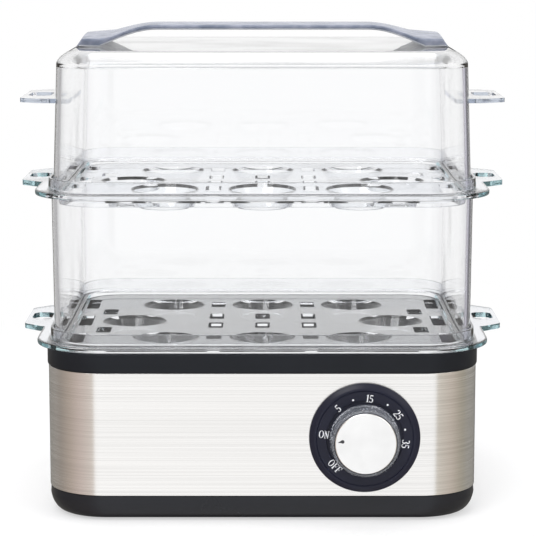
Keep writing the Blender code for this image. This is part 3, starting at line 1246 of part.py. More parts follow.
def main():
    clear_scene()
    middle = bpy.data.objects.new("body_middle", None)
    middle.location = (0, MIDDLE_Y, 0)
    bpy.context.scene.collection.objects.link(middle)

    black = make_material("black_moulding", (0.02, 0.02, 0.022), 0.38)
    steel = make_material("brushed_steel", (0.62, 0.59, 0.55), 0.32, 1.0)
    coated = make_material("coated_dish", (0.05, 0.05, 0.055), 0.45, 0.3)
    silicone = make_material("seal_silicone", (0.35, 0.35, 0.36), 0.7)
    rubber = make_material("foot_rubber", (0.015, 0.015, 0.015), 0.8)
    bright = make_material("bright_metal", (0.75, 0.75, 0.76), 0.3, 1.0)
    brass = make_material("brass", (0.80, 0.62, 0.30), 0.35, 1.0)
    insulator = make_material("insulator", (0.80, 0.78, 0.72), 0.6)
    dial_dark = make_material("dial_moulding", (0.016, 0.020, 0.032), 0.35)
    knob_clear = make_material("knob_clear", (0.80, 0.83, 0.86), 0.1, 0.0, 0.6)
    knob_light = make_material("knob_cap_metal", (0.85, 0.85, 0.85), 0.25, 1.0)
    clear = make_material("clear_moulding", (0.93, 0.94, 0.95), 0.05, 0.0, 0.25)
    tinted = make_material("tinted_moulding", (0.76, 0.88, 0.90), 0.05, 0.0, 0.3)
    smoke = make_material("smoked_moulding", (0.36, 0.40, 0.47), 0.15, 0.0, 0.8)
    brown = make_material("lead_brown", (0.25, 0.10, 0.04), 0.5)
    blue = make_material("lead_blue", (0.05, 0.15, 0.45), 0.5)
    green = make_material("lead_green", (0.25, 0.45, 0.08), 0.5)

    make_base_shell(black)
    make_steel_band(steel)
    make_top_collar(black)
    make_case_screws(bright)
    make_rubber_feet(rubber)
    make_heating_dish(coated)
    make_dish_seal(silicone)
    make_heating_element(bright, bright)
    make_thermostat(insulator, bright, bright)
    make_dial_ring(dial_dark)
    make_timer(bright, bright, brass, insulator)
    make_timer_contacts(insulator, brass)
    make_timer_back(bright, brass)
    make_knob(black, knob_clear, knob_light)
    make_cord_gland(black)
    make_terminal_block(insulator, brass)
    make_leads(brown, blue, green, insulator)
    make_tray("lower_tray", LOWER_TRAY_LEVEL, tinted)
    make_middle_ring(clear)
    make_tray("upper_tray", UPPER_TRAY_LEVEL, tinted)
    make_lid(clear)
    make_lid_handle(smoke)


main()
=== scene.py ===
"""Looks for a two-tier egg boiler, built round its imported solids.

Metres, +Z up, the dial facing -Y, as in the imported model. The shell, band, trays, ring, lid, handle,
dial and knob are modelled again here with finer corners, soft edges and print. The inner works keep
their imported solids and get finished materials.
"""

import math

import bmesh
import bpy
from mathutils import Matrix, Vector


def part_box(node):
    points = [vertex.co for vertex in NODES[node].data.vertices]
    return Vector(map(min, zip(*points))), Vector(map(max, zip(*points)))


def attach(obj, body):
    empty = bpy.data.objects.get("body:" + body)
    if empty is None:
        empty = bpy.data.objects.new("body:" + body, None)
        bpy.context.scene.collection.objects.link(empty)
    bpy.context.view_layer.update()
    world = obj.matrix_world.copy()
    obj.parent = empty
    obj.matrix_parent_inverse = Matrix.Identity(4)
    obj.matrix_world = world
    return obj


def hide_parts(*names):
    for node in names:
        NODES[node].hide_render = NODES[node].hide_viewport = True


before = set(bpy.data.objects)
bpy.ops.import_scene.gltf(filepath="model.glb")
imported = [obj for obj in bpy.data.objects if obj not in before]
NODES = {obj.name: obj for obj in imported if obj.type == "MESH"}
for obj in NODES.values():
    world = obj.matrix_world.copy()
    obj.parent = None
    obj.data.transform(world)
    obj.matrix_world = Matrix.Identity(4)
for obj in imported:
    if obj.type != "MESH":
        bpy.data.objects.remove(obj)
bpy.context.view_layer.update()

# Steps in round shapes
CORNER_STEPS = 14
SOFT_STEPS = 3
ROUND_SIDES = 96
SMALL_SIDES = 40
CURVE_STEPS = 24
SHARP_ANGLE = math.radians(38)
STUD_SIDES = 16
DOT_SIDES = 12
ARC_STEPS = 10
ARCH_STEPS = 6
FOOT_STEPS = 4
SLOT_STEPS = 6
EDGE_STEPS = 4
RIB_STEPS = 6
GAP = 0.0003
OVERRUN = 0.004

# Reach of a soft edge, from the finest
FINE_EDGE = 0.0002
THIN_EDGE = 0.0003
SOFT_EDGE = 0.0004
WALL_EDGE = 0.0005
FULL_EDGE = 0.0006

# Camera, fitted to the outlines in the photograph
LENS = 144.2
CAMERA_PLACE = (0.0026, -1.00755, 0.2595)
CAMERA_TILT = math.radians(8.84)

# Light and floor: a lamp is its name, place, size and power
WHITE = (1.0, 1.0, 1.0, 1.0)
ROOM_LIGHT = (0.78, 0.78, 0.79, 1.0)
LAMPS = (("key", (-0.5, -0.9, 1.3), 0.8, 9.0), ("fill", (0.9, -0.5, 0.8), 0.8, 3.0),
         ("top", (0, 0.3, 1.5), 1.0, 6.0))
LAMP_TARGET = (0, 0, 0.1)
SKY_BACK = (0.2, 0.5)
SKY_RISE = (-0.01, 0.015)
FLOOR_RADIUS = 3.0
FLOOR_FADE = (0.12, 0.45)
FLOOR_NEAR_SHARE = 0.55
NOISE_SPAN = (0.3, 0.7)
BOUNCES = 24
CLEAR_BOUNCES = 32

# Sizes that the boxes of the solids don't give
BODY_CORNER = 0.0265
BAND_SHEET = 0.0006
TIMER_HOLE = 0.006
FIXING_HOLE = 0.0019
GLAND_HOLE = 0.0056
SHELL_TUCK = 0.0060
SHELL_TUCK_RISE = 0.0100
SHELL_CHAMFER = 0.0004
LIP_WALL = 0.0020
LIP_HEIGHT = 0.00375
SHELL_FLOOR = 0.0032
POST_RADIUS = 0.0045
POST_INSET_X = 0.01675
POST_INSET_Y = 0.0155
BOSS_HEIGHT = 0.0120
SCREW_HOLE = 0.00215
HEAD_WELL_RADIUS = 0.0036
HEAD_WELL = 0.0052
FOOT_SOCKET_RADIUS = 0.0074
FOOT_SOCKET = 0.0012
COLLAR_HEIGHT = 0.0090
COLLAR_PROUD = 0.0005
COLLAR_FOOT_TURN = 0.0010
COLLAR_TOP_TURN = 0.0012
COLLAR_LAND = 0.0040
SKIRT_DROP = 0.0059
POST_HOLE = 0.012
LEDGE_WIDTH = 0.0076
LEDGE_THICK = 0.0025
DISH_CORNER = 0.0340
DISH_SHEET = 0.0010
DISH_SLOPE = 0.0060
DISH_WALL_CLEAR = 0.0008
DISH_DEPTH = 0.0096
DISH_BEND = 0.0025
DISH_LIP_BEND = 0.0015
DISH_LIP = 0.003
DISH_FLAT = 0.006
STUD_RADIUS = 0.0015
STUDS_X = (0.017, -0.017, -0.036)
RING_CORNER = 0.0225
CLEAR_WALL = 0.0020
PLUG_CLEAR = 0.0004
OPENING_CLEAR = 0.0006
DISH_RIM_CLEAR = 0.0004
INNER_MARGIN = 0.0002

# Feet, case screws and gland
SOLE_HOLLOW = 0.0004
SOLE_RIM = 0.0040
SOLE_SLOPE = 0.0006
SCREW_HEAD = 0.0023
SCREW_HEAD_RADIUS = 0.0032
SCREW_DOME = 0.0008
SCREW_RADIUS = 0.00175
RECESS = (0.0018, 0.0004)
RECESS_DEPTH = 0.0011
GLAND_BORE = 0.0034
GLAND_FLANGE = 0.0070
GLAND_NECK = 0.0052
GLAND_NOSE = 0.0046
GLAND_LIP = 0.0020
GLAND_TAPER = 0.0001
GLAND_GROOVES = ((0.0045, 0.0051), (0.0063, 0.0049))

# Trays
FLANGE = 0.0024
RIM_CLEAR = 0.0005
RIM_WALL = 0.0015
RIM_DRAFT = 0.0003
PLUG_WALL = 0.0018
PLUG_DRAFT = 0.0004
PLUG_DROP = 0.0037
TRAY_FLOOR = 0.0018
TRAY_CORNER = 0.0300
RIM_STAND = 0.0054
SEAT_TOP_RADIUS = 0.0150
SEAT_FOOT_RADIUS = 0.0100
SEAT_WALL = 0.0016
SEAT_DROP = 0.0074
SEAT_SIDE_X = 0.0610
SEAT_CORNER_X = 0.0440
SEAT_CORNER_Y = 0.0450
SLOT_ROUND = 0.0012
SHORT_SLOT = (0.007, 0.014)
SHORT_SLOTS = ((0.022, 0.045), (0.022, 0.0119), (0.074, 0.024))
MIDDLE_SLOT_Y = 0.0119
LONG_SLOT = (0.007, 0.026)
LONG_SLOT_X = 0.0845
LONG_SLOT_Y = 0.046
EDGE_LEAN = 0.8

# Ears of the trays and the lid: each tapers to its tip and has a round-cornered slot
EAR_LENGTH = 0.0097
EAR_CORNER = 0.0022
EAR_FILLET = 0.0030
EAR_SLOT_CORNER = 0.0040
TRAY_EAR_DEPTH = 0.0410
TRAY_EAR_FLARE = 0.0090
TRAY_EAR_SLOT = (0.0094, 0.0170)
TRAY_EAR_FRAME = 0.0020
LID_EAR_DEPTH = 0.0490
LID_EAR_FLARE = 0.0065
LID_EAR_THICK = 0.0020
LID_EAR_RISE = 0.0359
LID_EAR_SLOT = (0.0107, 0.0220)
LID_EAR_FRAME = 0.0022

# Lid and handle
LID_DRAFT = 0.00205
LID_SHOULDER = 0.0080
LID_SHOULDER_RISE = 0.0057
LID_SHOULDER_POWER = 1.3
LID_TURN_SHARE = 0.95
LID_STEP = 0.0004
HANDLE_STRAP = 0.0027
HANDLE_DOME = 0.0020
HANDLE_FOOT_TOP = 0.0063
HANDLE_FOOT_FALL = 0.0011
HANDLE_FOOT_SLOPE = 0.0028
HANDLE_FOOT_WIDTH = 0.00945
HANDLE_STEP_INSET = 0.0143
HANDLE_STEP_LENGTH = 0.0205
HANDLE_DEPTH = 0.0380
HANDLE_FOOT_DEPTH = 0.0740
HANDLE_TIP_DEPTH = 0.0620
HANDLE_NECK_LENGTH = 0.0220
HANDLE_ROUND = 0.0011
EDGE_SHARE = 0.45
UNDER_LEAN = -0.3
RING_FLARE = 0.0005

# Dial and knob, along the dial's axis from the face of the steel
DIAL_BEVEL = 0.0022
DIAL_EDGE = 0.0013
DIAL_LAND = 0.0008
DIAL_STEP = 0.0004
DIAL_WELL_RADIUS = 0.0170
DIAL_WELL_PROUD = 0.0016
DIAL_BORE = 0.0034
DIAL_SCREWS = ((0.01107, 0, 0), (-0.01107, 0, 0))
KNOB_RIBS = 60
KNOB_RIB = 0.00022
KNOB_EASE = 0.0005
KNOB_TAPER = 0.0006
KNOB_WALL = 0.0016
KNOB_ROOF = 0.0020
KNOB_HUB = 0.0058
KNOB_BORE = 0.0033
CAP_HOLLOW = 0.0003
CAP_RIM = 0.0012
CAP_BEVEL = 0.0004
CAP_BEVEL_DROP = 0.0005
PRINT_THICK = 0.00005
LABEL_RADIUS = 0.0182
LABEL_HEIGHT = 0.0034
DOT_RADIUS = 0.00045
MARK_RADIUS = 0.00078
MARK_LENGTH = 0.0021
MARK_OUT = 0.0034
MARK_SINK = 0.00022
MARK_THICK = 0.0002
MARK_ARC = 260
MARK_STEPS = 20
MARK_TURN = math.radians(6.0)

# Lengths read from the solids
BAND_LOW, BAND_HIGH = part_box("steel_band")
MIDDLE_Y = (BAND_LOW.y + BAND_HIGH.y) / 2
HALF_X = BAND_HIGH.x
HALF_Y = (BAND_HIGH.y - BAND_LOW.y) / 2
SHELL_LOW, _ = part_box("base_shell")
RING_LOW, RING_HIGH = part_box("middle_ring")
TRAY_LOW, TRAY_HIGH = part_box("lower_tray")
LID_LOW, LID_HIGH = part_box("lid")
HANDLE_LOW, HANDLE_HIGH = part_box("lid_handle")
DISH_LOW, DISH_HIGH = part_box("heating_dish")
DIAL_LOW, DIAL_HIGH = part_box("dial_ring")
BAND_FOOT = BAND_LOW.z - GAP
COLLAR_FOOT = BAND_HIGH.z + GAP
COLLAR_TOP = COLLAR_FOOT + COLLAR_HEIGHT
INNER_STEP = BAND_SHEET + GAP
DIAL_X = (DIAL_LOW.x + DIAL_HIGH.x) / 2
DIAL_Z = (DIAL_LOW.z + DIAL_HIGH.z) / 2
DIAL_RADIUS = (DIAL_HIGH.z - DIAL_LOW.z) / 2
FACE_Y = BAND_LOW.y
DIAL_PROUD = FACE_Y - DIAL_LOW.y
DIAL_AXIS = Matrix.Translation((DIAL_X, FACE_Y, DIAL_Z)) @ Matrix.Rotation(math.pi / 2, 4, "X")
RING_X = RING_HIGH.x - RING_FLARE
RING_Y = (RING_HIGH.y - RING_LOW.y) / 2 - RING_FLARE
EAR_REACH = TRAY_HIGH.x
TRAY_X = EAR_REACH - EAR_LENGTH
TRAY_Y = (TRAY_HIGH.y - TRAY_LOW.y) / 2
LID_X = RING_X - LID_STEP
LID_Y = RING_Y - LID_STEP
LID_CORNER = RING_CORNER - LID_STEP
LID_FLAT_X = LID_X - LID_DRAFT - LID_SHOULDER
HEEL = LID_FLAT_X - HANDLE_FOOT_WIDTH
STEP_START = LID_FLAT_X - HANDLE_STEP_INSET
STEP_END = STEP_START - HANDLE_STEP_LENGTH


# Materials


def new_material(name, colour, roughness, metallic=0.0, specular=0.5):
    """A material with one Principled shader, and that shader."""
    material = bpy.data.materials.new(name)
    material.use_nodes = True
    shader = material.node_tree.nodes["Principled BSDF"]
    shader.inputs["Base Color"].default_value = (*colour, 1.0)
    shader.inputs["Roughness"].default_value = roughness
    shader.inputs["Metallic"].default_value = metallic
    shader.inputs["Specular IOR Level"].default_value = specular
    return material, shader


def add_node(owner, kind, **settings):
    """Add a shader node to a material or the world."""
    node = owner.node_tree.nodes.new(kind)
    for setting, value in settings.items():
        setattr(node, setting, value)
    return node


def feed(owner, source, end):
    """Give a socket its value: another socket's, or a plain one."""
    if isinstance(source, bpy.types.NodeSocket):
        owner.node_tree.links.new(source, end)
    else:
        end.default_value = source


def add_math(owner, operation, first, second):
    step = add_node(owner, "ShaderNodeMath", operation=operation)
    feed(owner, first, step.inputs[0])
    feed(owner, second, step.inputs[1])
    return step.outputs["Value"]


def map_range(owner, source, start, end, low=0.0, high=1.0, **settings):
    """Spread a value from one range over another."""
    spread = add_node(owner, "ShaderNodeMapRange", **settings)
    for socket, value in (("Value", source), ("From Min", start), ("From Max", end), ("To Min", low),
                          ("To Max", high)):
        feed(owner, value, spread.inputs[socket])
    return spread.outputs["Result"]


def blend(owner, share, first, second):
    """Mix two colours, each a socket or a plain one."""
    mix = add_node(owner, "ShaderNodeMix", data_type="RGBA")
    for socket, source in (("Factor", share), ("A", first), ("B", second)):
        feed(owner, source, mix.inputs[socket])
    return mix.outputs["Result"]


def blend_shaders(owner, share, first, second):
    mix = add_node(owner, "ShaderNodeMixShader")
    for number, source in enumerate((share, first, second)):
        feed(owner, source, mix.inputs[number])
    return mix.outputs["Shader"]


def stretched_noise(material, stretch, detail=3.0):
    """Noise over the object's own metres, stretched by a scale for each axis."""
    mapping = add_node(material, "ShaderNodeMapping")
    feed(material, add_node(material, "ShaderNodeTexCoord").outputs["Object"], mapping.inputs["Vector"])
    feed(material, stretch, mapping.inputs["Scale"])
    noise = add_node(material, "ShaderNodeTexNoise")
    for socket, source in (("Vector", mapping.outputs["Vector"]), ("Scale", 1.0), ("Detail", detail)):
        feed(material, source, noise.inputs[socket])
    return noise.outputs["Fac"]


def add_bump(material, shader, source, distance):
    bump = add_node(material, "ShaderNodeBump")
    for socket, value in (("Distance", distance), ("Strength", 1.0), ("Height", source)):
        feed(material, value, bump.inputs[socket])
    feed(material, bump.outputs["Normal"], shader.inputs["Normal"])


def add_ramp(owner, source, stops):
    """Colours against a value; a stop is its position and a colour."""
    ramp = add_node(owner, "ShaderNodeValToRGB")
    points = ramp.color_ramp.elements
    while len(points) < len(stops):
        points.new(1.0)
    for point, (position, colour) in zip(points, stops):
        point.position = position
        point.color = (*colour, 1.0)
    feed(owner, source, ramp.inputs["Fac"])
    return ramp.outputs["Color"]


def add_unevenness(material, shader, noise, shades, turns, shines):
    """Spread the colour and the roughness over a noise, between two values each."""
    feed(material, add_ramp(material, noise, list(zip(turns, shades))), shader.inputs["Base Color"])
    feed(material, map_range(material, noise, *NOISE_SPAN, *shines), shader.inputs["Roughness"])


def moulded(name, colour, roughness, specular=0.5, grain=900.0, depth=0.00001):
    """Moulded plastic or rubber: fine grain, and a little unevenness in colour and shine."""
    material, shader = new_material(name, colour, roughness, specular=specular)
    broad = stretched_noise(material, (18.0, 18.0, 18.0))
    shades = [[value * 0.9 for value in colour], [min(1.0, value * 1.12 + 0.001) for value in colour]]
    add_unevenness(material, shader, broad, shades, NOISE_SPAN, (roughness * 0.85, roughness * 1.2))
    add_bump(material, shader, stretched_noise(material, (grain, grain, grain)), depth)
    return material


def brushed(name, colour, roughness, stretch, depth):
    """Brushed metal: fine scratches along the long directions of the stretch."""
    material, shader = new_material(name, colour, roughness, 1.0)
    lines = stretched_noise(material, stretch, 4.0)
    shades = [[value * 0.91 for value in colour], [min(1.0, value * 1.05) for value in colour]]
    add_unevenness(material, shader, lines, shades, (0.32, 0.68), (roughness * 0.9, roughness * 1.15))
    add_bump(material, shader, lines, depth)
    return material


def clear_plastic(name, face, edge, turn=0.42, roughness=0.02, ior=1.49, weight=1.0):
    """Clear moulding, darker where it is seen along its wall; lamps shine through it."""
    material, shader = new_material(name, face, roughness)
    shader.inputs["Transmission Weight"].default_value = weight
    shader.inputs["IOR"].default_value = ior
    facing = add_node(material, "ShaderNodeLayerWeight")
    facing.inputs["Blend"].default_value = 0.5
    stops = ((turn - 0.10, face), (turn + 0.12, edge), (1.0, edge))
    feed(material, add_ramp(material, facing.outputs["Facing"], stops), shader.inputs["Base Color"])
    add_bump(material, shader, stretched_noise(material, (22.0, 22.0, 22.0), 1.0), 0.00012)
    through = add_node(material, "ShaderNodeBsdfTransparent")
    through.inputs["Color"].default_value = (*face, 1.0)
    shadow = add_node(material, "ShaderNodeLightPath").outputs["Is Shadow Ray"]
    surface = blend_shaders(material, shadow, shader.outputs["BSDF"], through.outputs["BSDF"])
    feed(material, surface, material.node_tree.nodes["Material Output"].inputs["Surface"])
    return material


def smoked_plastic(name, deep, pale):
    """Smoked handle moulding: cloudy, with a soft sheen."""
    material, shader = new_material(name, pale, 0.26, specular=0.3)
    cloud = stretched_noise(material, (140.0, 140.0, 140.0), 3.0)
    feed(material, add_ramp(material, cloud, ((0.34, deep), (0.66, pale))), shader.inputs["Base Color"])
    add_bump(material, shader, cloud, 0.00015)
    return material


# Name, colour and roughness, then specular level, grain and its depth where they aren't the plain ones
MOULDED_LOOKS = {
    "black": ("black_moulding_look", (0.0075, 0.0090, 0.0125), 0.36, 0.2),
    "shell": ("shell_moulding_look", (0.0090, 0.0100, 0.0140), 0.30, 0.36),
    "coated": ("coated_dish_look", (0.010, 0.010, 0.011), 0.60, 0.1, 500.0, 0.00003),
    "silicone": ("seal_look", (0.30, 0.30, 0.31), 0.6),
    "rubber": ("rubber_look", (0.014, 0.014, 0.014), 0.75, 0.5, 700.0, 0.00003),
    "insulator": ("insulator_look", (0.78, 0.75, 0.68), 0.55),
    "dial": ("dial_look", (0.010, 0.011, 0.024), 0.30, 0.25, 1200.0, 0.000006),
    "print": ("print_look", (0.86, 0.87, 0.90), 0.5),
    "mark": ("mark_look", (0.03, 0.03, 0.035), 0.4),
    "brown": ("lead_brown_look", (0.22, 0.09, 0.035), 0.45),
    "blue": ("lead_blue_look", (0.04, 0.13, 0.42), 0.45),
    "green": ("lead_green_look", (0.22, 0.42, 0.06), 0.45),
}
# Name, colour, roughness, the stretch of the scratches along each axis, and their depth
METAL_LOOKS = {
    "steel": ("brushed_steel_look", (0.91, 0.90, 0.885), 0.24, (4.0, 4.0, 2400.0), 0.000006),
    "bright": ("bright_metal_look", (0.74, 0.74, 0.75), 0.3, (400.0, 400.0, 400.0), 0.000004),
    "brass": ("brass_look", (0.80, 0.60, 0.28), 0.3, (400.0, 400.0, 400.0), 0.000004),
    "cap": ("knob_cap_look", (0.97, 0.97, 0.97), 0.20, (60.0, 60.0, 60.0), 0.000002),
}
# Name, colour face on and along the wall, then the turn between them, roughness, index and transmission
CLEAR_LOOKS = {
    "clear": ("clear_look", (0.985, 0.988, 0.992), (0.70, 0.70, 0.71)),
    "inner": ("clear_inner_look", (0.985, 0.988, 0.992), (0.96, 0.96, 0.965)),
    "ear": ("ear_look", (0.36, 0.41, 0.50), (0.24, 0.29, 0.37), 0.42, 0.05, 1.35, 0.85),
    "tray": ("tray_look", (0.968, 0.975, 0.985), (0.70, 0.72, 0.77)),
    "tray_edge": ("tray_edge_look", (0.36, 0.64, 0.67), (0.24, 0.46, 0.50), 0.42, 0.03, 1.49, 0.8),
    "knob_clear": ("knob_clear_look", (0.80, 0.82, 0.86), (0.52, 0.54, 0.60), 0.5, 0.03, 1.49, 0.9),
}
# Name, and the two colours of the cloud
SMOKED_LOOKS = {
    "smoke": ("smoked_look", (0.15, 0.175, 0.235), (0.30, 0.32, 0.40)),
    # The underside's pale cloud is painted light: a paler copy of the smoked moulding for the underside,
    # which gets little light
    "smoke_under": ("smoked_underside_look", (0.56, 0.58, 0.64), (0.70, 0.72, 0.76)),
}


def make_materials():
    """Every look, by its key in the tables."""
    made = {}
    for make, table in ((moulded, MOULDED_LOOKS), (brushed, METAL_LOOKS), (clear_plastic, CLEAR_LOOKS),
                        (smoked_plastic, SMOKED_LOOKS)):
        for key, settings in table.items():
            made[key] = make(*settings)
    steel = made["steel"]
    shader = steel.node_tree.nodes["Principled BSDF"]
    shader.inputs["Anisotropic"].default_value = 0.85
    shader.inputs["Anisotropic Rotation"].default_value = 0.25
    tangent = add_node(steel, "ShaderNodeTangent", direction_type="RADIAL", axis="Z")
    feed(steel, tangent.outputs["Tangent"], shader.inputs["Tangent"])
    return made


# Mesh tools


def round_corners(half_x, half_y, radius, steps=CORNER_STEPS):
    """Plan outline of a rectangle with round corners, anticlockwise."""
    points = []
    for quarter, (side_x, side_y) in enumerate(((1, 1), (-1, 1), (-1, -1), (1, -1))):
        for step in range(steps + 1):
            angle = math.pi / 2 * (quarter + step / steps)
            points.append((side_x * (half_x - radius) + radius * math.cos(angle),
                           side_y * (half_y - radius) + radius * math.sin(angle)))
    return points


def soften(profile, closed=True):
    """Round each corner of a profile by its own reach, the third value of its point."""
    points = []
    last = len(profile) - 1
    for here, (across, level, reach) in enumerate(profile):
        if not reach or (not closed and here in (0, last)):
            points.append((across, level))
            continue
        corner = Vector((across, level))
        before = Vector(profile[here - 1][:2]) - corner
        after = Vector(profile[(here + 1) % len(profile)][:2]) - corner
        start = corner + before.normalized() * min(reach, before.length / 2)
        end = corner + after.normalized() * min(reach, after.length / 2)
        for step in range(SOFT_STEPS + 1):
            share = step / SOFT_STEPS
            spot = start * (1 - share) ** 2 + corner * (2 * share * (1 - share)) + end * share ** 2
            points.append((spot.x, spot.y))
    return points


def skin(solid, rings, closed):
    """Join rings of points into a solid: a closed tube of rings, or an open one with two caps.

    A ring of one point is a pole, where the faces meet without a cap.
    """
    rows = [[solid.verts.new(point) for point in ring] for ring in rings]
    pairs = list(zip(rows, rows[1:]))
    if closed:
        pairs.append((rows[-1], rows[0]))
    elif len(rows[0]) > 1:
        solid.faces.new(rows[0])
        solid.faces.new(rows[-1])
    sides = max(len(row) for row in rows)
    for low, high in pairs:
        for here in range(sides):
            after = (here + 1) % sides
            corners = (low[here % len(low)], low[after % len(low)],
                       high[after % len(high)], high[here % len(high)])
            solid.faces.new(list(dict.fromkeys(corners)))


def rows_solid(rows, closed=False):
    """Solid round the body from rows of half width, half depth, corner radius and level.

    A closed one is a tube of rings, and an open one is filled in at its first and last ring.
    """
    solid = bmesh.new()
    rings = [[(x, y + MIDDLE_Y, level) for x, y in round_corners(half_x, half_y, radius)]
             for half_x, half_y, radius, level in rows]
    skin(solid, rings, closed)
    return solid


def profile_rows(profile, half_x, half_y, corner):
    return [(half_x + out, half_y + out, corner + out, level) for out, level in profile]


def profile_solid(profile, half_x, half_y, corner, closed=False):
    """Solid from a profile; its point is how far out it stands, its level and the reach of its rounding."""
    return rows_solid(profile_rows(soften(profile, closed), half_x, half_y, corner), closed)


def add_turned(solid, profile, place=(0, 0, 0), sides=SMALL_SIDES):
    """Add a turned shape; its profile lists radius, height and reach, from pole to pole or as a loop."""
    closed = bool(profile[0][0])
    rings = []
    for radius, height in soften(profile, closed):
        ring = []
        for side in range(sides if radius else 1):
            angle = 2 * math.pi * (side + 0.5) / sides
            ring.append((place[0] + radius * math.cos(angle), place[1] + radius * math.sin(angle),
                         place[2] + height))
        rings.append(ring)
    skin(solid, rings, closed)


def turned_solid(profile, places=((0, 0, 0),), sides=SMALL_SIDES):
    solid = bmesh.new()
    for place in places:
        add_turned(solid, profile, place, sides)
    return solid


def add_prism(solid, outline, low, high):
    skin(solid, [[(x, y, level) for x, y in outline] for level in (low, high)], False)


def rod(radius, low, high):
    return [(0, low, 0), (radius, low, 0), (radius, high, 0), (0, high, 0)]


def hole(radius):
    return rod(radius, -OVERRUN, OVERRUN)


def four_corners(x, y):
    return [(side_x * x, MIDDLE_Y + side_y * y, 0) for side_x in (1, -1) for side_y in (1, -1)]


def post_places():
    return four_corners(HALF_X - POST_INSET_X, HALF_Y - POST_INSET_Y)


def plan_middle(node):
    """Middle of a solid in plan."""
    low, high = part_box(node)
    return (low.x + high.x) / 2, (low.y + high.y) / 2, 0


def gland_axis():
    """Place of the gland in the rear of the band, with +Z pointing out."""
    low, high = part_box("cord_gland")
    place = Matrix.Translation(((low.x + high.x) / 2, BAND_HIGH.y, (low.z + high.z) / 2))
    return place @ Matrix.Rotation(-math.pi / 2, 4, "X")


def smooth_step(share):
    share = min(1.0, max(0.0, share))
    return share * share * (3 - 2 * share)


def make_object(name, solid, place=Matrix.Identity(4)):
    """Turn a bmesh into an object with its faces out, smooth where it is round."""
    bmesh.ops.remove_doubles(solid, verts=solid.verts, dist=0.0000005)
    bmesh.ops.recalc_face_normals(solid, faces=solid.faces)
    solid.transform(place)
    mesh = bpy.data.meshes.new(name)
    solid.to_mesh(mesh)
    solid.free()
    mesh.shade_smooth()
    mesh.set_sharp_from_angle(angle=SHARP_ANGLE)
    piece = bpy.data.objects.new(name, mesh)
    bpy.context.scene.collection.objects.link(piece)
    return piece


def combine(piece, solid, operation, place=Matrix.Identity(4)):
    """Join a tool shape to a piece, or cut it away, and keep the result as plain mesh."""
    tool = make_object("tool", solid, place)
    step = piece.modifiers.new("step", "BOOLEAN")
    step.operation = operation
    step.object = tool
    step.solver = "EXACT"
    view = bpy.context.evaluated_depsgraph_get()
    mesh = bpy.data.meshes.new_from_object(piece.evaluated_get(view))
    piece.modifiers.clear()
    piece.data = mesh
    mesh.name = piece.name
    bpy.data.objects.remove(tool)
    mesh.shade_smooth()
    mesh.set_sharp_from_angle(angle=SHARP_ANGLE)


def finish_piece(piece, materials, body, nodes=()):
    """Give a piece its materials, even shading and its body, and hide the solids that it stands for."""
    piece.data.materials.clear()
    for material in materials:
        piece.data.materials.append(material)
    shading = piece.modifiers.new("shading", "WEIGHTED_NORMAL")
    shading.keep_sharp = True
    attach(piece, body)
    if nodes:
        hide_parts(*nodes)
    return piece


# Body


def make_base_shell(look):
    """Bottom pan: a shallow chamfer under the steel, a wall tucked in at its foot, bosses and sockets."""
    foot = SHELL_LOW.z
    floor_top = foot + SHELL_FLOOR
    lip = -INNER_STEP - LIP_WALL
    lip_top = BAND_FOOT + LIP_HEIGHT
    profile = [(lip, floor_top, 0), (lip, lip_top, SOFT_EDGE), (-INNER_STEP, lip_top, SOFT_EDGE),
               (-INNER_STEP, BAND_FOOT, 0), (-SHELL_CHAMFER, BAND_FOOT, FINE_EDGE)]
    for step in range(2, CORNER_STEPS + 1):
        angle = math.pi / 2 * step / CORNER_STEPS
        profile.append((-SHELL_TUCK * (1 - math.cos(angle)),
                        foot + SHELL_TUCK_RISE * (1 - math.sin(angle)), 0))
    shell = make_object("base_shell_look", profile_solid(profile, HALF_X, HALF_Y, BODY_CORNER))
    boss_top = floor_top + BOSS_HEIGHT
    bosses = turned_solid(rod(POST_RADIUS, floor_top - SHELL_FLOOR / 2, boss_top), post_places())
    combine(shell, bosses, "UNION")
    well_top = foot + HEAD_WELL
    cuts = turned_solid([(0, foot - OVERRUN, 0), (HEAD_WELL_RADIUS, foot - OVERRUN, 0),
                         (HEAD_WELL_RADIUS, well_top, 0), (SCREW_HOLE, well_top, 0),
                         (SCREW_HOLE, boss_top + OVERRUN, 0), (0, boss_top + OVERRUN, 0)], post_places())
    for number in range(1, 5):
        add_turned(cuts, rod(FOOT_SOCKET_RADIUS, foot - OVERRUN, foot + FOOT_SOCKET),
                   plan_middle(f"rubber_foot_{number}"))
    combine(shell, cuts, "DIFFERENCE")
    finish_piece(shell, [look], "base", ["base_shell"])


def make_steel_band(look):
    """Brushed wrap with its timer and gland holes."""
    low, high, edge = BAND_LOW.z, BAND_HIGH.z, BAND_SHEET / 4
    profile = [(0, low, edge), (0, high, edge), (-BAND_SHEET, high, edge), (-BAND_SHEET, low, edge)]
    band = make_object("steel_band_look", profile_solid(profile, HALF_X, HALF_Y, BODY_CORNER, True))
    cuts = turned_solid(hole(TIMER_HOLE))
    for place in DIAL_SCREWS:
        add_turned(cuts, hole(FIXING_HOLE), place)
    combine(band, cuts, "DIFFERENCE", DIAL_AXIS)
    combine(band, turned_solid(hole(GLAND_HOLE)), "DIFFERENCE", gland_axis())
    finish_piece(band, [look], "base", ["steel_band"])


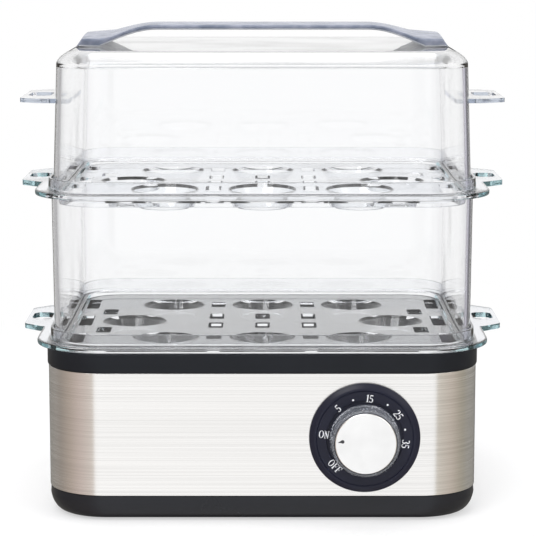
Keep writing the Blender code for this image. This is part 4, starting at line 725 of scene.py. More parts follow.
def make_top_collar(look):
    """Black frame round the dish, with its ledge, skirt and four posts."""
    post_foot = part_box("top_collar")[0].z
    step_in = CLEAR_WALL + PLUG_CLEAR - OPENING_CLEAR
    opening = (RING_X - step_in, RING_Y - step_in, RING_CORNER - step_in)
    ledge = (opening[0] - LEDGE_WIDTH, opening[1] - LEDGE_WIDTH, DISH_CORNER)
    rim = (HALF_X + COLLAR_PROUD, HALF_Y + COLLAR_PROUD, BODY_CORNER + COLLAR_PROUD)
    inner = (HALF_X - INNER_STEP, HALF_Y - INNER_STEP, BODY_CORNER - INNER_STEP)
    skirt = tuple(value - LIP_WALL for value in inner)
    ledge_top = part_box("dish_seal")[0].z - GAP
    ledge_foot = ledge_top - LEDGE_THICK
    skirt_foot = COLLAR_FOOT - SKIRT_DROP
    outer = soften([(-COLLAR_FOOT_TURN, COLLAR_FOOT, 0), (0, COLLAR_FOOT, COLLAR_FOOT_TURN),
                    (0, COLLAR_TOP, COLLAR_TOP_TURN), (-COLLAR_LAND, COLLAR_TOP, 0)], False)
    rows = profile_rows(outer, *rim)
    rows += [(*(value + FULL_EDGE for value in opening), COLLAR_TOP), (*opening, COLLAR_TOP - FULL_EDGE),
             (*opening, ledge_top), (*ledge, ledge_top), (*ledge, ledge_foot), (*skirt, ledge_foot),
             (*skirt, skirt_foot), (*inner, skirt_foot), (*inner, COLLAR_FOOT)]
    collar = make_object("top_collar_look", rows_solid(rows, True))
    posts = rod(POST_RADIUS, post_foot, ledge_foot + LEDGE_THICK / 2)
    holes = rod(SCREW_HOLE, post_foot - OVERRUN, post_foot + POST_HOLE)
    combine(collar, turned_solid(posts, post_places()), "UNION")
    combine(collar, turned_solid(holes, post_places()), "DIFFERENCE")
    finish_piece(collar, [look], "base", ["top_collar"])


def make_heating_dish(look):
    """Pressed water pan with soft bends, and the studs under it."""
    rim_x = DISH_HIGH.x
    rim_y = (DISH_HIGH.y - DISH_LOW.y) / 2
    rim_corner = RING_CORNER - CLEAR_WALL - PLUG_CLEAR + OPENING_CLEAR - DISH_RIM_CLEAR
    step_in = LEDGE_WIDTH + DISH_WALL_CLEAR - DISH_RIM_CLEAR
    well = (rim_x - step_in, rim_y - step_in, DISH_CORNER - DISH_WALL_CLEAR)
    top = DISH_HIGH.z
    under = top - DISH_SHEET
    floor = top - DISH_DEPTH
    floor_under = floor - DISH_SHEET
    foot_in = DISH_SLOPE + DISH_SHEET
    inner = soften([(-foot_in - DISH_FLAT, floor, 0), (-foot_in, floor, DISH_BEND),
                    (-DISH_SHEET, top, DISH_LIP_BEND), (DISH_LIP, top, 0)], False)
    outer = soften([(DISH_LIP, under, 0), (0, under, SOFT_EDGE), (-DISH_SLOPE, floor_under, DISH_BEND),
                    (-DISH_SLOPE - DISH_FLAT, floor_under, 0)], False)
    rows = profile_rows(inner, *well)
    rows += [(rim_x, rim_y, rim_corner, top), (rim_x, rim_y, rim_corner, under)]
    rows += profile_rows(outer, *well)
    dish = make_object("heating_dish_look", rows_solid(rows))
    studs = turned_solid(rod(STUD_RADIUS, DISH_LOW.z, floor - DISH_SHEET / 2),
                         [(x, MIDDLE_Y, 0) for x in STUDS_X], STUD_SIDES)
    combine(dish, studs, "UNION")
    finish_piece(dish, [look], "base", ["heating_dish"])


def make_feet(look):
    """Rubber feet with a soft edge and a dished sole."""
    for number in range(1, 5):
        low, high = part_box(f"rubber_foot_{number}")
        radius = (high.x - low.x) / 2
        profile = [(0, SOLE_HOLLOW, 0), (SOLE_RIM - SOLE_SLOPE, SOLE_HOLLOW, THIN_EDGE),
                   (SOLE_RIM, 0, THIN_EDGE), (radius, 0, FULL_EDGE), (radius, high.z, 0), (0, high.z, 0)]
        foot = make_object(f"rubber_foot_look_{number}",
                           turned_solid(profile, [plan_middle(f"rubber_foot_{number}")]))
        finish_piece(foot, [look], "base", [f"rubber_foot_{number}"])


def make_case_screws(look):
    """Screws from below, with a domed head and a cross recess."""
    for number in range(1, 5):
        low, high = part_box(f"case_screw_{number}")
        middle = plan_middle(f"case_screw_{number}")
        head_top = low.z + SCREW_HEAD
        profile = [(0, low.z, 0), (SCREW_HEAD_RADIUS, low.z, SCREW_DOME),
                   (SCREW_HEAD_RADIUS, head_top, FINE_EDGE), (SCREW_RADIUS, head_top, 0),
                   (SCREW_RADIUS, high.z, SOFT_EDGE), (0, high.z, 0)]
        screw = make_object(f"case_screw_look_{number}", turned_solid(profile, [middle]))
        for x, y in (RECESS, RECESS[::-1]):
            tool = bmesh.new()
            add_prism(tool, [(middle[0] + side_x * x, middle[1] + side_y * y)
                             for side_x, side_y in ((1, 1), (-1, 1), (-1, -1), (1, -1))],
                      low.z - OVERRUN, low.z + RECESS_DEPTH)
            combine(screw, tool, "DIFFERENCE")
        finish_piece(screw, [look], "base", [f"case_screw_{number}"])


def make_gland(look):
    """Cord bush in the rear of the band, with grip ribs on its nose."""
    low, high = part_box("cord_gland")
    nose = high.y - BAND_HIGH.y
    inner = BAND_HIGH.y - low.y
    lip = GAP + GLAND_LIP
    profile = [(GLAND_BORE, -inner, FINE_EDGE), (GLAND_FLANGE, -inner, THIN_EDGE),
               (GLAND_FLANGE, -INNER_STEP, 0), (GLAND_NECK, -INNER_STEP, 0), (GLAND_NECK, GAP, 0),
               (GLAND_FLANGE, GAP, 0), (GLAND_FLANGE, lip, FULL_EDGE), (GLAND_NECK, lip, SOFT_EDGE)]
    for groove, radius in GLAND_GROOVES:
        profile += [(radius, groove - THIN_EDGE, FINE_EDGE), (radius - SOFT_EDGE, groove, FINE_EDGE),
                    (radius - GLAND_TAPER, groove + THIN_EDGE, FINE_EDGE)]
    profile += [(GLAND_NOSE, nose, FULL_EDGE), (GLAND_BORE, nose, SOFT_EDGE)]
    gland = make_object("cord_gland_look", turned_solid(profile), gland_axis())
    finish_piece(gland, [look], "base", ["cord_gland"])


# Dial and knob


def arc(middle_x, middle_y, radius_x, radius_y, start, end, thin=0.06, thick=0.15):
    """Stroke along part of an ellipse, thick at its sides as in print with serifs."""
    points = []
    for step in range(ARC_STEPS + 1):
        angle = math.radians(start + (end - start) * step / ARC_STEPS)
        width = thin + (thick - thin) * abs(math.cos(angle)) ** 1.5
        points.append((middle_x + radius_x * math.cos(angle), middle_y + radius_y * math.sin(angle), width))
    return points


def line(start_x, start_y, end_x, end_y, width):
    return [(start_x, start_y, width), (end_x, end_y, width)]


# Strokes of each character, as shares of its height, and how far the next one stands from it
CHARACTER_SHARES = {
    "1": (0.46, [line(0.26, 0.0, 0.26, 1.0, 0.14), line(0.10, 0.84, 0.27, 0.97, 0.06),
                 line(0.10, 0.03, 0.42, 0.03, 0.06)]),
    "2": (0.60, [arc(0.27, 0.72, 0.19, 0.25, 165, -35), line(0.43, 0.56, 0.07, 0.06, 0.09),
                 line(0.05, 0.06, 0.50, 0.06, 0.12), line(0.50, 0.02, 0.52, 0.22, 0.05)]),
    "3": (0.58, [arc(0.24, 0.75, 0.18, 0.22, 150, -80), arc(0.24, 0.28, 0.22, 0.25, 85, -150)]),
    "5": (0.58, [line(0.13, 0.93, 0.47, 0.93, 0.13), line(0.13, 0.96, 0.10, 0.52, 0.06),
                 arc(0.24, 0.30, 0.22, 0.27, 125, -150)]),
    "O": (0.72, [arc(0.34, 0.5, 0.26, 0.47, 0, 180, 0.05, 0.13),
                 arc(0.34, 0.5, 0.26, 0.47, 180, 360, 0.05, 0.13)]),
    "N": (0.66, [line(0.11, 0.0, 0.11, 1.0, 0.06), line(0.11, 0.98, 0.52, 0.02, 0.14),
                 line(0.52, 0.0, 0.52, 1.0, 0.06), line(0.0, 0.98, 0.18, 0.98, 0.05),
                 line(0.02, 0.02, 0.22, 0.02, 0.05), line(0.41, 0.98, 0.63, 0.98, 0.05)]),
    "F": (0.62, [line(0.16, 0.0, 0.16, 1.0, 0.14), line(0.03, 0.97, 0.54, 0.97, 0.06),
                 line(0.54, 1.0, 0.54, 0.74, 0.05), line(0.16, 0.52, 0.40, 0.52, 0.06),
                 line(0.40, 0.64, 0.40, 0.40, 0.05), line(0.03, 0.03, 0.32, 0.03, 0.05)]),
}

# Labels round the dial: text, its clockwise angle from the top, and its own clockwise turn
LABELS = (("OFF", -133.6, 46.0), ("ON", -84.0, 7.0), ("5", -41.0, -41.0), ("15", 6.3, 7.5),
          ("25", 54.0, 54.0), ("35", 98.0, 98.0))
DOT_ANGLES = (-17.0, 33.0, 77.0)


def add_stroke(solid, stroke, place, low, high):
    """Add one stroke of print as a thin raised ribbon; place moves a point from the line of text."""
    left, right = [], []
    for here, (x, y, width) in enumerate(stroke):
        before = Vector(stroke[max(here - 1, 0)][:2])
        after = Vector(stroke[min(here + 1, len(stroke) - 1)][:2])
        way = (after - before).normalized()
        side = Vector((-way.y, way.x)) * width / 2
        left.append(place(x + side.x, y + side.y))
        right.append(place(x - side.x, y - side.y))
    add_prism(solid, left + right[::-1], low, high)


def make_dial(look, print_look):
    """Dial: a bevelled ring with a printed time scale."""
    land = DIAL_RADIUS - DIAL_BEVEL - DIAL_LAND
    face = DIAL_PROUD - DIAL_STEP
    profile = [(DIAL_RADIUS, GAP, 0), (DIAL_RADIUS, DIAL_EDGE, SOFT_EDGE),
               (DIAL_RADIUS - DIAL_BEVEL, DIAL_PROUD, FULL_EDGE), (land, DIAL_PROUD, THIN_EDGE),
               (land - DIAL_STEP, face, THIN_EDGE), (DIAL_WELL_RADIUS, face, FINE_EDGE),
               (DIAL_WELL_RADIUS, DIAL_WELL_PROUD, 0), (DIAL_BORE, DIAL_WELL_PROUD, 0), (DIAL_BORE, GAP, 0)]
    ring = make_object("dial_ring_look", turned_solid(profile, sides=ROUND_SIDES), DIAL_AXIS)
    combine(ring, turned_solid(hole(FIXING_HOLE), DIAL_SCREWS), "DIFFERENCE", DIAL_AXIS)
    finish_piece(ring, [look], "base", ["dial_ring"])

    ink = bmesh.new()
    for text, angle, turn in LABELS:
        middle = Vector(on_dial(angle)[:2])
        spin = Matrix.Rotation(-math.radians(turn), 2)
        start = -sum(CHARACTER_SHARES[letter][0] for letter in text) / 2

        def place(x, y):
            return middle + spin @ Vector((start + x, y - 0.5)) * LABEL_HEIGHT

        for letter in text:
            step, strokes = CHARACTER_SHARES[letter]
            for stroke in strokes:
                add_stroke(ink, stroke, place, face, face + PRINT_THICK)
            start += step
    for angle in DOT_ANGLES:
        add_turned(ink, rod(DOT_RADIUS, face, face + PRINT_THICK), on_dial(angle), DOT_SIDES)
    finish_piece(make_object("dial_print", ink, DIAL_AXIS), [print_look], "base")


def on_dial(angle):
    """Place on the ring of labels, at a clockwise angle from the top."""
    angle = math.radians(angle)
    return LABEL_RADIUS * math.sin(angle), LABEL_RADIUS * math.cos(angle), 0


def make_knob(body_look, skirt_look, cap_look, mark_look):
    """Knob: dark body, clear ribbed skirt, bright dished cap and its pointer mark."""
    low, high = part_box("knob_skirt")
    skirt_radius = (high.z - low.z) / 2 - KNOB_RIB
    skirt_tip = FACE_Y - low.y
    foot = FACE_Y - high.y
    low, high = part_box("knob_cap")
    cap_radius = (high.z - low.z) / 2
    cap_tip = FACE_Y - low.y
    cap_foot = FACE_Y - high.y
    top = FACE_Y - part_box("knob_body")[0].y
    roof = top - KNOB_ROOF
    radius = cap_radius - GAP
    inside = radius - KNOB_WALL

    body = make_object("knob_body_look", turned_solid(
        [(0, top, 0), (radius, top, THIN_EDGE), (radius, foot, THIN_EDGE), (inside, foot, THIN_EDGE),
         (inside, roof, SOFT_EDGE), (KNOB_HUB, roof, SOFT_EDGE), (KNOB_HUB, foot, THIN_EDGE), (0, foot, 0)],
        sides=ROUND_SIDES), DIAL_AXIS)
    combine(body, turned_solid(rod(KNOB_BORE, foot - OVERRUN, roof)), "DIFFERENCE", DIAL_AXIS)
    finish_piece(body, [body_look], "timer_knob", ["knob_body"])

    rings = []
    sides = KNOB_RIBS * RIB_STEPS
    for radius, height, wave in ((skirt_radius, foot, KNOB_RIB),
                                 (skirt_radius - KNOB_TAPER, skirt_tip - KNOB_EASE, KNOB_RIB),
                                 (skirt_radius - 2 * KNOB_TAPER, skirt_tip, KNOB_RIB),
                                 (cap_radius + GAP, skirt_tip, 0), (cap_radius + GAP, foot, 0)):
        ring = []
        for side in range(sides):
            angle = 2 * math.pi * side / sides
            out = radius + wave * math.cos(KNOB_RIBS * angle)
            ring.append((out * math.cos(angle), out * math.sin(angle), height))
        rings.append(ring)
    skirt = bmesh.new()
    skin(skirt, rings, True)
    finish_piece(make_object("knob_skirt_look", skirt, DIAL_AXIS), [skirt_look], "timer_knob",
                 ["knob_skirt"])

    cap = make_object("knob_cap_look", turned_solid(
        [(0, cap_tip - CAP_HOLLOW, 0), (cap_radius - CAP_RIM, cap_tip - CAP_HOLLOW / 3, FULL_EDGE),
         (cap_radius - CAP_BEVEL, cap_tip, THIN_EDGE), (cap_radius, cap_tip - CAP_BEVEL_DROP, THIN_EDGE),
         (cap_radius, cap_foot, 0), (0, cap_foot, 0)], sides=ROUND_SIDES), DIAL_AXIS)
    finish_piece(cap, [cap_look], "timer_knob", ["knob_cap"])

    level = cap_tip - MARK_SINK
    head = MARK_OUT - cap_radius
    outline = [(head - MARK_LENGTH, -MARK_LENGTH / 3)]
    for step in range(MARK_STEPS + 1):
        angle = math.radians(MARK_ARC * (step / MARK_STEPS - 0.5))
        outline.append((head + MARK_RADIUS * math.cos(angle), MARK_RADIUS * math.sin(angle)))
    mark = bmesh.new()
    add_prism(mark, outline, level, level + MARK_THICK)
    mark = make_object("knob_mark", mark, DIAL_AXIS @ Matrix.Rotation(-MARK_TURN, 4, "Z"))
    finish_piece(mark, [mark_look], "timer_knob")


# Trays, ring, lid and handle


def add_ears(solid, root, depth, flare, foot, top):
    """Add two ears that taper to their tips, with round corners and a soft edge all round."""
    tip = depth / 2
    base = tip + flare
    half = soften([(root, base, 0), (TRAY_X, base, EAR_FILLET), (EAR_REACH, tip, EAR_CORNER),
                   (EAR_REACH, 0, 0)], False)[:-1]
    outline = half + [(x, -y) for x, y in reversed(half)]
    for side in (1, -1):
        add_prism(solid, [(side * x, MIDDLE_Y + y) for x, y in outline], foot, top)


def add_slot(solid, middle_x, middle_y, size, corner, foot, top):
    """Cutter for a slot with round corners; its size is its width and its length."""
    plan = round_corners(size[0] / 2, size[1] / 2, corner, SLOT_STEPS)
    add_prism(solid, [(middle_x + x, middle_y + y) for x, y in plan], foot - OVERRUN, top + OVERRUN)


def add_ear_slots(solid, frame_width, size, foot, top):
    for side in (1, -1):
        middle_x = side * (EAR_REACH - frame_width - size[0] / 2)
        add_slot(solid, middle_x, MIDDLE_Y, size, EAR_SLOT_CORNER, foot, top)


def in_ear_slot(place, frame_width, size):
    """Whether a place lies on a wall of an ear's slot."""
    from_middle = abs(abs(place.x) - EAR_REACH + frame_width + size[0] / 2)
    return from_middle < size[0] / 2 + GAP and abs(place.y - MIDDLE_Y) < size[1] / 2 + GAP


def seat_places():
    places = [(0, MIDDLE_Y + SEAT_CORNER_Y, 0), (0, MIDDLE_Y - SEAT_CORNER_Y, 0),
              (SEAT_SIDE_X, MIDDLE_Y, 0), (-SEAT_SIDE_X, MIDDLE_Y, 0)]
    return places + four_corners(SEAT_CORNER_X, SEAT_CORNER_Y)


def steam_slots():
    """Middle and size of each steam slot."""
    slots = []
    for x, y in SHORT_SLOTS:
        slots += [(*place[:2], SHORT_SLOT) for place in four_corners(x, y)]
    slots += [(0, MIDDLE_Y + side * MIDDLE_SLOT_Y, SHORT_SLOT) for side in (1, -1)]
    slots += [(*place[:2], LONG_SLOT) for place in four_corners(LONG_SLOT_X, LONG_SLOT_Y)]
    slots += [(side * LONG_SLOT_X, MIDDLE_Y, LONG_SLOT) for side in (1, -1)]
    return slots


def tray_mesh(level):
    """Egg tray with soft edges: flange, rim, floor, cup seats, slots and ears."""
    plug = -CLEAR_WALL - PLUG_CLEAR
    pan = plug - PLUG_WALL
    ledge = TRAY_Y - RING_Y
    rim_out = RIM_CLEAR + RIM_WALL
    flange = level + FLANGE
    rim = TRAY_HIGH.z
    profile = [(pan - PLUG_DRAFT, level, 0), (pan, flange, WALL_EDGE), (RIM_CLEAR, flange, THIN_EDGE),
               (RIM_CLEAR, rim, SOFT_EDGE), (rim_out - RIM_DRAFT, rim, SOFT_EDGE),
               (rim_out, flange, SOFT_EDGE), (ledge, flange, FULL_EDGE), (ledge, level, FULL_EDGE),
               (plug, level, FINE_EDGE), (plug - PLUG_DRAFT, level - PLUG_DROP, SOFT_EDGE),
               (pan, level - PLUG_DROP, SOFT_EDGE), (pan, level - TRAY_FLOOR, 0)]
    rows = []
    for out, height in soften(profile, False):
        share = max(0.0, out - rim_out) / (ledge - rim_out)
        rows.append((RING_X + out + share * (TRAY_X - RING_X - ledge), RING_Y + out,
                     RING_CORNER + out + share * (TRAY_CORNER - RING_CORNER - ledge), height))
    tray = make_object("tray", rows_solid(rows))

    lean = (SEAT_TOP_RADIUS - SEAT_FOOT_RADIUS) / SEAT_DROP
    cup_foot = level - SEAT_DROP
    cup_top = level - TRAY_FLOOR / 2
    cup_top_radius = SEAT_TOP_RADIUS - lean * TRAY_FLOOR / 2 + SEAT_WALL
    cups = turned_solid([(0, cup_foot, 0), (SEAT_FOOT_RADIUS + SEAT_WALL, cup_foot, FULL_EDGE),
                         (cup_top_radius, cup_top, 0), (0, cup_top, 0)], seat_places())
    combine(tray, cups, "UNION")
    ears = bmesh.new()
    add_ears(ears, RING_X + rim_out, TRAY_EAR_DEPTH, TRAY_EAR_FLARE, level, flange)
    combine(tray, ears, "UNION")
    widen = lean * OVERRUN
    cuts = turned_solid([(0, cup_foot - OVERRUN, 0), (SEAT_FOOT_RADIUS - widen, cup_foot - OVERRUN, 0),
                         (SEAT_TOP_RADIUS, level, 0), (SEAT_TOP_RADIUS + widen, level + OVERRUN, 0),
                         (0, level + OVERRUN, 0)], seat_places())
    for x, y, size in steam_slots():
        add_slot(cuts, x, y, size, SLOT_ROUND, level - TRAY_FLOOR, level)
    add_ear_slots(cuts, TRAY_EAR_FRAME, TRAY_EAR_SLOT, level, flange)
    combine(tray, cuts, "DIFFERENCE")
    return tray


def make_trays(look, edge_look):
    """Both trays from one mesh; the outer edges of their ears take the deeper tint."""
    level = TRAY_HIGH.z - RIM_STAND - FLANGE
    tray = tray_mesh(level)
    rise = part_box("upper_tray")[1].z - TRAY_HIGH.z
    upper = bpy.data.objects.new("upper_tray_look", tray.data.copy())
    bpy.context.scene.collection.objects.link(upper)
    upper.data.transform(Matrix.Translation((0, 0, rise)))
    tray.name = "lower_tray_look"
    rim_out = RIM_CLEAR + RIM_WALL + GAP
    for piece, foot in ((tray, level), (upper, level + rise)):
        body = piece.name.replace("_look", "")
        finish_piece(piece, [look, edge_look], body, [body])
        for face in piece.data.polygons:
            middle = face.center
            at_edge = foot - GAP < middle.z < foot + FLANGE + GAP and abs(face.normal.z) < EDGE_LEAN
            outside = abs(middle.x) > RING_X + rim_out or abs(middle.y - MIDDLE_Y) > RING_Y + rim_out
            in_slot = in_ear_slot(middle, TRAY_EAR_FRAME, TRAY_EAR_SLOT)
            if at_edge and outside and abs(middle.x) > RING_X and not in_slot:
                face.material_index = 1


def make_middle_ring(look, inner_look):
    """Clear wall between the trays."""
    low, high = RING_LOW.z, RING_HIGH.z
    profile = [(0, low, WALL_EDGE), (RING_FLARE, high, WALL_EDGE), (RING_FLARE - CLEAR_WALL, high, WALL_EDGE),
               (-CLEAR_WALL, low, WALL_EDGE)]
    ring = make_object("middle_ring_look", profile_solid(profile, RING_X, RING_Y, RING_CORNER, True))
    finish_piece(ring, [look, inner_look], "middle_ring", ["middle_ring"])
    mark_inner(ring, RING_X, RING_Y)


def mark_inner(piece, half_x, half_y):
    """Give the faces inside a wall the second material."""
    for face in piece.data.polygons:
        x, y = face.center.x, face.center.y - MIDDLE_Y
        inward = face.normal.x * x + face.normal.y * y < 0
        if inward and abs(x) < half_x - INNER_MARGIN and abs(y) < half_y - INNER_MARGIN:
            face.material_index = 1


def lid_wall(inset, top):
    """Rows of one side of the lid, from the mouth over the round shoulder to the flat top."""
    steps = [(0, LID_LOW.z)]
    for step in range(CORNER_STEPS + 1):
        angle = math.pi / 2 * step / CORNER_STEPS
        steps.append((LID_DRAFT + LID_SHOULDER * (1 - math.cos(angle) ** LID_SHOULDER_POWER),
                      top - LID_SHOULDER_RISE * (1 - math.sin(angle) ** LID_SHOULDER_POWER)))
    steps.append((LID_DRAFT + LID_SHOULDER + OVERRUN, top))
    return [(LID_X - inset - step, LID_Y - inset - step, LID_CORNER - inset - step * LID_TURN_SHARE, level)
            for step, level in steps]


def make_lid(look, inner_look, ear_look):
    """Clear lid: drafted walls, round shoulder and two slotted ears."""
    rows = lid_wall(CLEAR_WALL, LID_HIGH.z - CLEAR_WALL)[::-1] + lid_wall(0, LID_HIGH.z)
    lid = make_object("lid_look", rows_solid(rows))
    ear_foot = LID_LOW.z + LID_EAR_RISE
    ear_top = ear_foot + LID_EAR_THICK
    ears = bmesh.new()
    add_ears(ears, LID_X - LID_DRAFT - CLEAR_WALL / 2, LID_EAR_DEPTH, LID_EAR_FLARE, ear_foot, ear_top)
    combine(lid, ears, "UNION")
    slots = bmesh.new()
    add_ear_slots(slots, LID_EAR_FRAME, LID_EAR_SLOT, ear_foot, ear_top)
    combine(lid, slots, "DIFFERENCE")
    finish_piece(lid, [look, inner_look, ear_look], "lid", ["lid"])
    mark_inner(lid, LID_X, LID_Y)
    for face in lid.data.polygons:
        at_ear = abs(face.center.x) > LID_X and ear_foot - GAP < face.center.z < ear_top + GAP
        if at_ear and not in_ear_slot(face.center, LID_EAR_FRAME, LID_EAR_SLOT):
            face.material_index = 2


def handle_section(x):
    """Underside, crown of the top and half depth of the strap at one place along it."""
    rest = LID_HIGH.z + GAP
    toe = HANDLE_HIGH.x
    brow = toe - HANDLE_FOOT_SLOPE
    under = HANDLE_HIGH.z - HANDLE_STRAP
    shelf = LID_HIGH.z + HANDLE_FOOT_TOP
    low = rest
    if x < HEEL:
        low = rest + (under - rest) * math.sin(math.pi / 2 * min(1.0, (HEEL - x) / (HEEL - STEP_END)))
    if x > LID_FLAT_X:
        low = rest - (x - LID_FLAT_X) / (toe - LID_FLAT_X) * (rest - HANDLE_LOW.z)
    if x > brow:
        toe_top = HANDLE_LOW.z + HANDLE_ROUND
        high = toe_top + (shelf - HANDLE_FOOT_FALL - toe_top) * (toe - x) / HANDLE_FOOT_SLOPE
    elif x > STEP_START:
        high = shelf - HANDLE_FOOT_FALL * (x - STEP_START) / (brow - STEP_START)
    else:
        share = min(1.0, (STEP_START - x) / HANDLE_STEP_LENGTH)
        high = shelf + (HANDLE_HIGH.z - shelf) * math.sin(math.pi / 2 * share)
    if x > HEEL:
        depth = HANDLE_TIP_DEPTH + (HANDLE_FOOT_DEPTH - HANDLE_TIP_DEPTH) * (toe - x) / (toe - HEEL)
    else:
        neck = smooth_step((HEEL - x) / HANDLE_NECK_LENGTH)
        depth = HANDLE_FOOT_DEPTH - (HANDLE_FOOT_DEPTH - HANDLE_DEPTH) * neck
    return low, high, depth / 2


def handle_ring(x):
    """Outline of the strap across its length: flat underside, round edges, domed top."""
    low, crown, half = handle_section(abs(x))
    reach = HANDLE_FOOT_DEPTH / 2
    brink = crown - HANDLE_DOME * ((half - HANDLE_ROUND) / reach) ** 2
    radius = min(HANDLE_ROUND, (brink - low) * EDGE_SHARE)
    side = half - radius
    top = []
    for step in range(1, CURVE_STEPS):
        y = (half - HANDLE_ROUND) * (1 - 2 * step / CURVE_STEPS)
        top.append((y, crown - HANDLE_DOME * (y / reach) ** 2))
    points = []
    for start, middle_y, middle_z, after in ((-90, side, low + radius, []), (0, side, brink - radius, top),
                                             (90, -side, brink - radius, []), (180, -side, low + radius, [])):
        for step in range(EDGE_STEPS + 1):
            angle = math.radians(start + 90 * step / EDGE_STEPS)
            points.append((middle_y + radius * math.cos(angle), middle_z + radius * math.sin(angle)))
        points += after
    return [(x, MIDDLE_Y + y, z) for y, z in points]


def make_handle(look, under_look):
    """Smoked strap: one loft from foot to foot, wider and thicker at its feet, with painted light making it
    paler underneath.
    """
    brow = HANDLE_HIGH.x - HANDLE_FOOT_SLOPE
    stations = [STEP_END * step / ARCH_STEPS for step in range(ARCH_STEPS)]
    stations += [STEP_END + (HEEL - STEP_END) * step / CURVE_STEPS for step in range(CURVE_STEPS + 1)]
    stations += [HEEL + (brow - HEEL) * step / FOOT_STEPS for step in range(1, FOOT_STEPS)]
    stations += [brow - FULL_EDGE, brow, brow + FULL_EDGE, LID_FLAT_X, HANDLE_HIGH.x]
    stations = sorted(set(stations))
    solid = bmesh.new()
    skin(solid, [handle_ring(x) for x in [-x for x in stations[:0:-1]] + stations], False)
    handle = finish_piece(make_object("lid_handle_look", solid), [look, under_look], "lid",
                          ["lid_handle"])
    # Faces that look down take the paler copy: painted light on the shaded underside
    for face in handle.data.polygons:
        if face.normal.z < UNDER_LEAN:
            face.material_index = 1


# Inner works, floor, light and camera


INNER_LOOKS = {
    "silicone": ("dish_seal",),
    "bright": ("timer_screw_1", "timer_screw_2", "stud_nut_1", "stud_nut_2", "stud_nut_3", "heating_element",
               "element_pin_1", "element_pin_2", "thermostat_bracket", "timer_plate", "timer_case",
               "timer_shaft", "timer_bell"),
    "brass": ("timer_main_gear", "timer_pinion", "mainspring_barrel", "contact_leaf_1", "contact_leaf_2",
              "timer_blade_1", "timer_blade_2", "terminal_screw_1", "terminal_screw_2", "terminal_screw_3"),
    "insulator": ("timer_cam", "contact_block", "terminal_block", "thermostat", "thermal_fuse"),
    "brown": ("lead_live", "lead_timer_to_thermostat", "lead_thermostat_to_fuse", "lead_fuse_to_element"),
    "blue": ("lead_neutral",),
    "green": ("lead_earth",),
}


def dress_inner_works(looks):
    for look, names in INNER_LOOKS.items():
        for name in names:
            for slot in NODES[name].material_slots:
                slot.material = looks[look]


def make_floor():
    """Pale floor that keeps the shadow and fades into the white behind it.

    Mirrored rays pass it, and bent rays its far part, and see the studio instead.
    """
    solid = bmesh.new()
    bmesh.ops.create_circle(solid, cap_ends=True, segments=ROUND_SIDES, radius=FLOOR_RADIUS)
    floor = make_object("floor", solid)
    material, shader = new_material("floor_look", (0.95, 0.95, 0.955), 0.9, specular=0.0)
    glow = add_node(material, "ShaderNodeEmission")
    glow.inputs["Color"].default_value = WHITE
    glow.inputs["Strength"].default_value = 1.0
    length = add_node(material, "ShaderNodeVectorMath", operation="LENGTH")
    feed(material, add_node(material, "ShaderNodeTexCoord").outputs["Object"], length.inputs[0])
    far = map_range(material, length.outputs["Value"], *FLOOR_FADE, FLOOR_NEAR_SHARE, 1.0,
                    interpolation_type="SMOOTHSTEP")
    open_way = add_node(material, "ShaderNodeBsdfTransparent").outputs["BSDF"]
    path = add_node(material, "ShaderNodeLightPath").outputs
    surface = shader.outputs["BSDF"]
    for rays, other in (("Is Camera Ray", glow.outputs["Emission"]), ("Is Transmission Ray", open_way)):
        surface = blend_shaders(material, add_math(material, "MULTIPLY", far, path[rays]), surface, other)
    surface = blend_shaders(material, path["Is Glossy Ray"], surface, open_way)
    feed(material, surface, material.node_tree.nodes["Material Output"].inputs["Surface"])
    floor.data.materials.append(material)


# What metal mirrors, by compass angle: from behind the object by its left, front and right to behind
MIRRORED_STOPS = (
    (0.02, (0.12, 0.12, 0.12)), (0.07, (0.26, 0.25, 0.23)), (0.208, (0.30, 0.265, 0.235)),
    (0.286, (0.44, 0.37, 0.32)), (0.351, (0.57, 0.48, 0.44)), (0.428, (0.64, 0.58, 0.53)),
    (0.438, (1.0, 1.0, 1.0)), (0.590, (1.0, 1.0, 1.0)), (0.608, (0.60, 0.56, 0.50)),
    (0.694, (0.51, 0.445, 0.385)), (0.769, (0.37, 0.34, 0.28)), (0.828, (0.31, 0.295, 0.265)),
    (0.93, (0.26, 0.25, 0.23)), (0.965, (0.05, 0.05, 0.055)))
# What shows through the bends of clear walls, from left to right
BENT_STOPS = (
    (0.03, (0.94, 0.94, 0.945)), (0.10, (0.50, 0.50, 0.51)), (0.28, (0.70, 0.70, 0.71)),
    (0.36, (1.0, 1.0, 1.0)), (0.64, (1.0, 1.0, 1.0)), (0.70, (0.16, 0.16, 0.19)),
    (0.78, (0.16, 0.16, 0.19)), (0.84, (0.78, 0.76, 0.86)), (0.90, (0.78, 0.76, 0.86)),
    (0.97, (0.94, 0.94, 0.95)))
# Where that gives way to white, from below the horizon to above it
HORIZON_STOPS = (
    (0.28, (1.0, 1.0, 1.0)), (0.36, (0.0, 0.0, 0.0)), (0.53, (0.0, 0.0, 0.0)), (0.58, (1.0, 1.0, 1.0)))


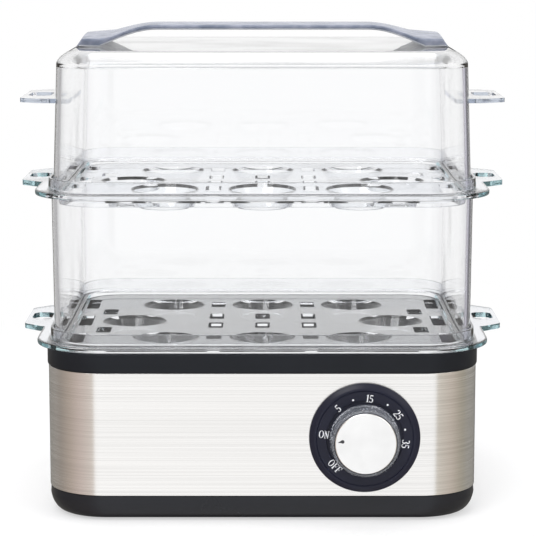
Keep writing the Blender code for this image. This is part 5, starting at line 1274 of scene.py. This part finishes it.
def make_world():
    """White studio; metal and the clear walls' bends also see its dimmer sides."""
    world = bpy.data.worlds.new("studio")
    bpy.context.scene.world = world
    world.use_nodes = True
    way = add_node(world, "ShaderNodeSeparateXYZ")
    feed(world, add_node(world, "ShaderNodeTexCoord").outputs["Generated"], way.inputs["Vector"])
    x, y, z = (way.outputs[axis] for axis in "XYZ")
    path = add_node(world, "ShaderNodeLightPath").outputs

    compass = add_math(world, "ARCTAN2", x, add_math(world, "MULTIPLY", y, -1.0))
    around = add_ramp(world, map_range(world, compass, -math.pi, math.pi), MIRRORED_STOPS)
    sky = add_math(world, "MULTIPLY", map_range(world, y, *SKY_BACK), map_range(world, z, *SKY_RISE))
    mirrored = blend(world, sky, around, WHITE)
    horizon = add_ramp(world, map_range(world, z, -1.0, 1.0), HORIZON_STOPS)
    bent = blend(world, horizon, add_ramp(world, map_range(world, x, -1.0, 1.0), BENT_STOPS), WHITE)

    seen = blend(world, path["Is Glossy Ray"], ROOM_LIGHT, mirrored)
    seen = blend(world, path["Is Transmission Ray"], seen, bent)
    seen = blend(world, path["Is Camera Ray"], seen, WHITE)
    feed(world, seen, world.node_tree.nodes["Background"].inputs["Color"])


def add_lamps():
    for name, place, size, power in LAMPS:
        lamp = bpy.data.lights.new(name, "AREA")
        lamp.size = size
        lamp.energy = power
        holder = bpy.data.objects.new(name, lamp)
        holder.location = place
        holder.rotation_euler = (Vector(LAMP_TARGET) - Vector(place)).to_track_quat("-Z", "Y").to_euler()
        bpy.context.scene.collection.objects.link(holder)


def make_camera():
    data = bpy.data.cameras.new("camera")
    data.lens = LENS
    camera = bpy.data.objects.new("camera", data)
    camera.location = CAMERA_PLACE
    camera.rotation_euler = (math.pi / 2 - CAMERA_TILT, 0, 0)
    bpy.context.scene.collection.objects.link(camera)
    bpy.context.scene.camera = camera


def main():
    make_camera()
    make_world()
    make_floor()
    add_lamps()
    looks = make_materials()
    make_base_shell(looks["shell"])
    make_steel_band(looks["steel"])
    make_top_collar(looks["black"])
    make_heating_dish(looks["coated"])
    make_feet(looks["rubber"])
    make_case_screws(looks["bright"])
    make_gland(looks["black"])
    make_dial(looks["dial"], looks["print"])
    make_knob(looks["black"], looks["knob_clear"], looks["cap"], looks["mark"])
    make_trays(looks["tray"], looks["tray_edge"])
    make_middle_ring(looks["clear"], looks["inner"])
    make_lid(looks["clear"], looks["inner"], looks["ear"])
    make_handle(looks["smoke"], looks["smoke_under"])
    dress_inner_works(looks)

    scene = bpy.context.scene
    scene.view_settings.view_transform = "Standard"
    scene.cycles.max_bounces = BOUNCES
    scene.cycles.transmission_bounces = BOUNCES
    scene.cycles.transparent_max_bounces = CLEAR_BOUNCES


main()
bpy.context.view_layer.update()
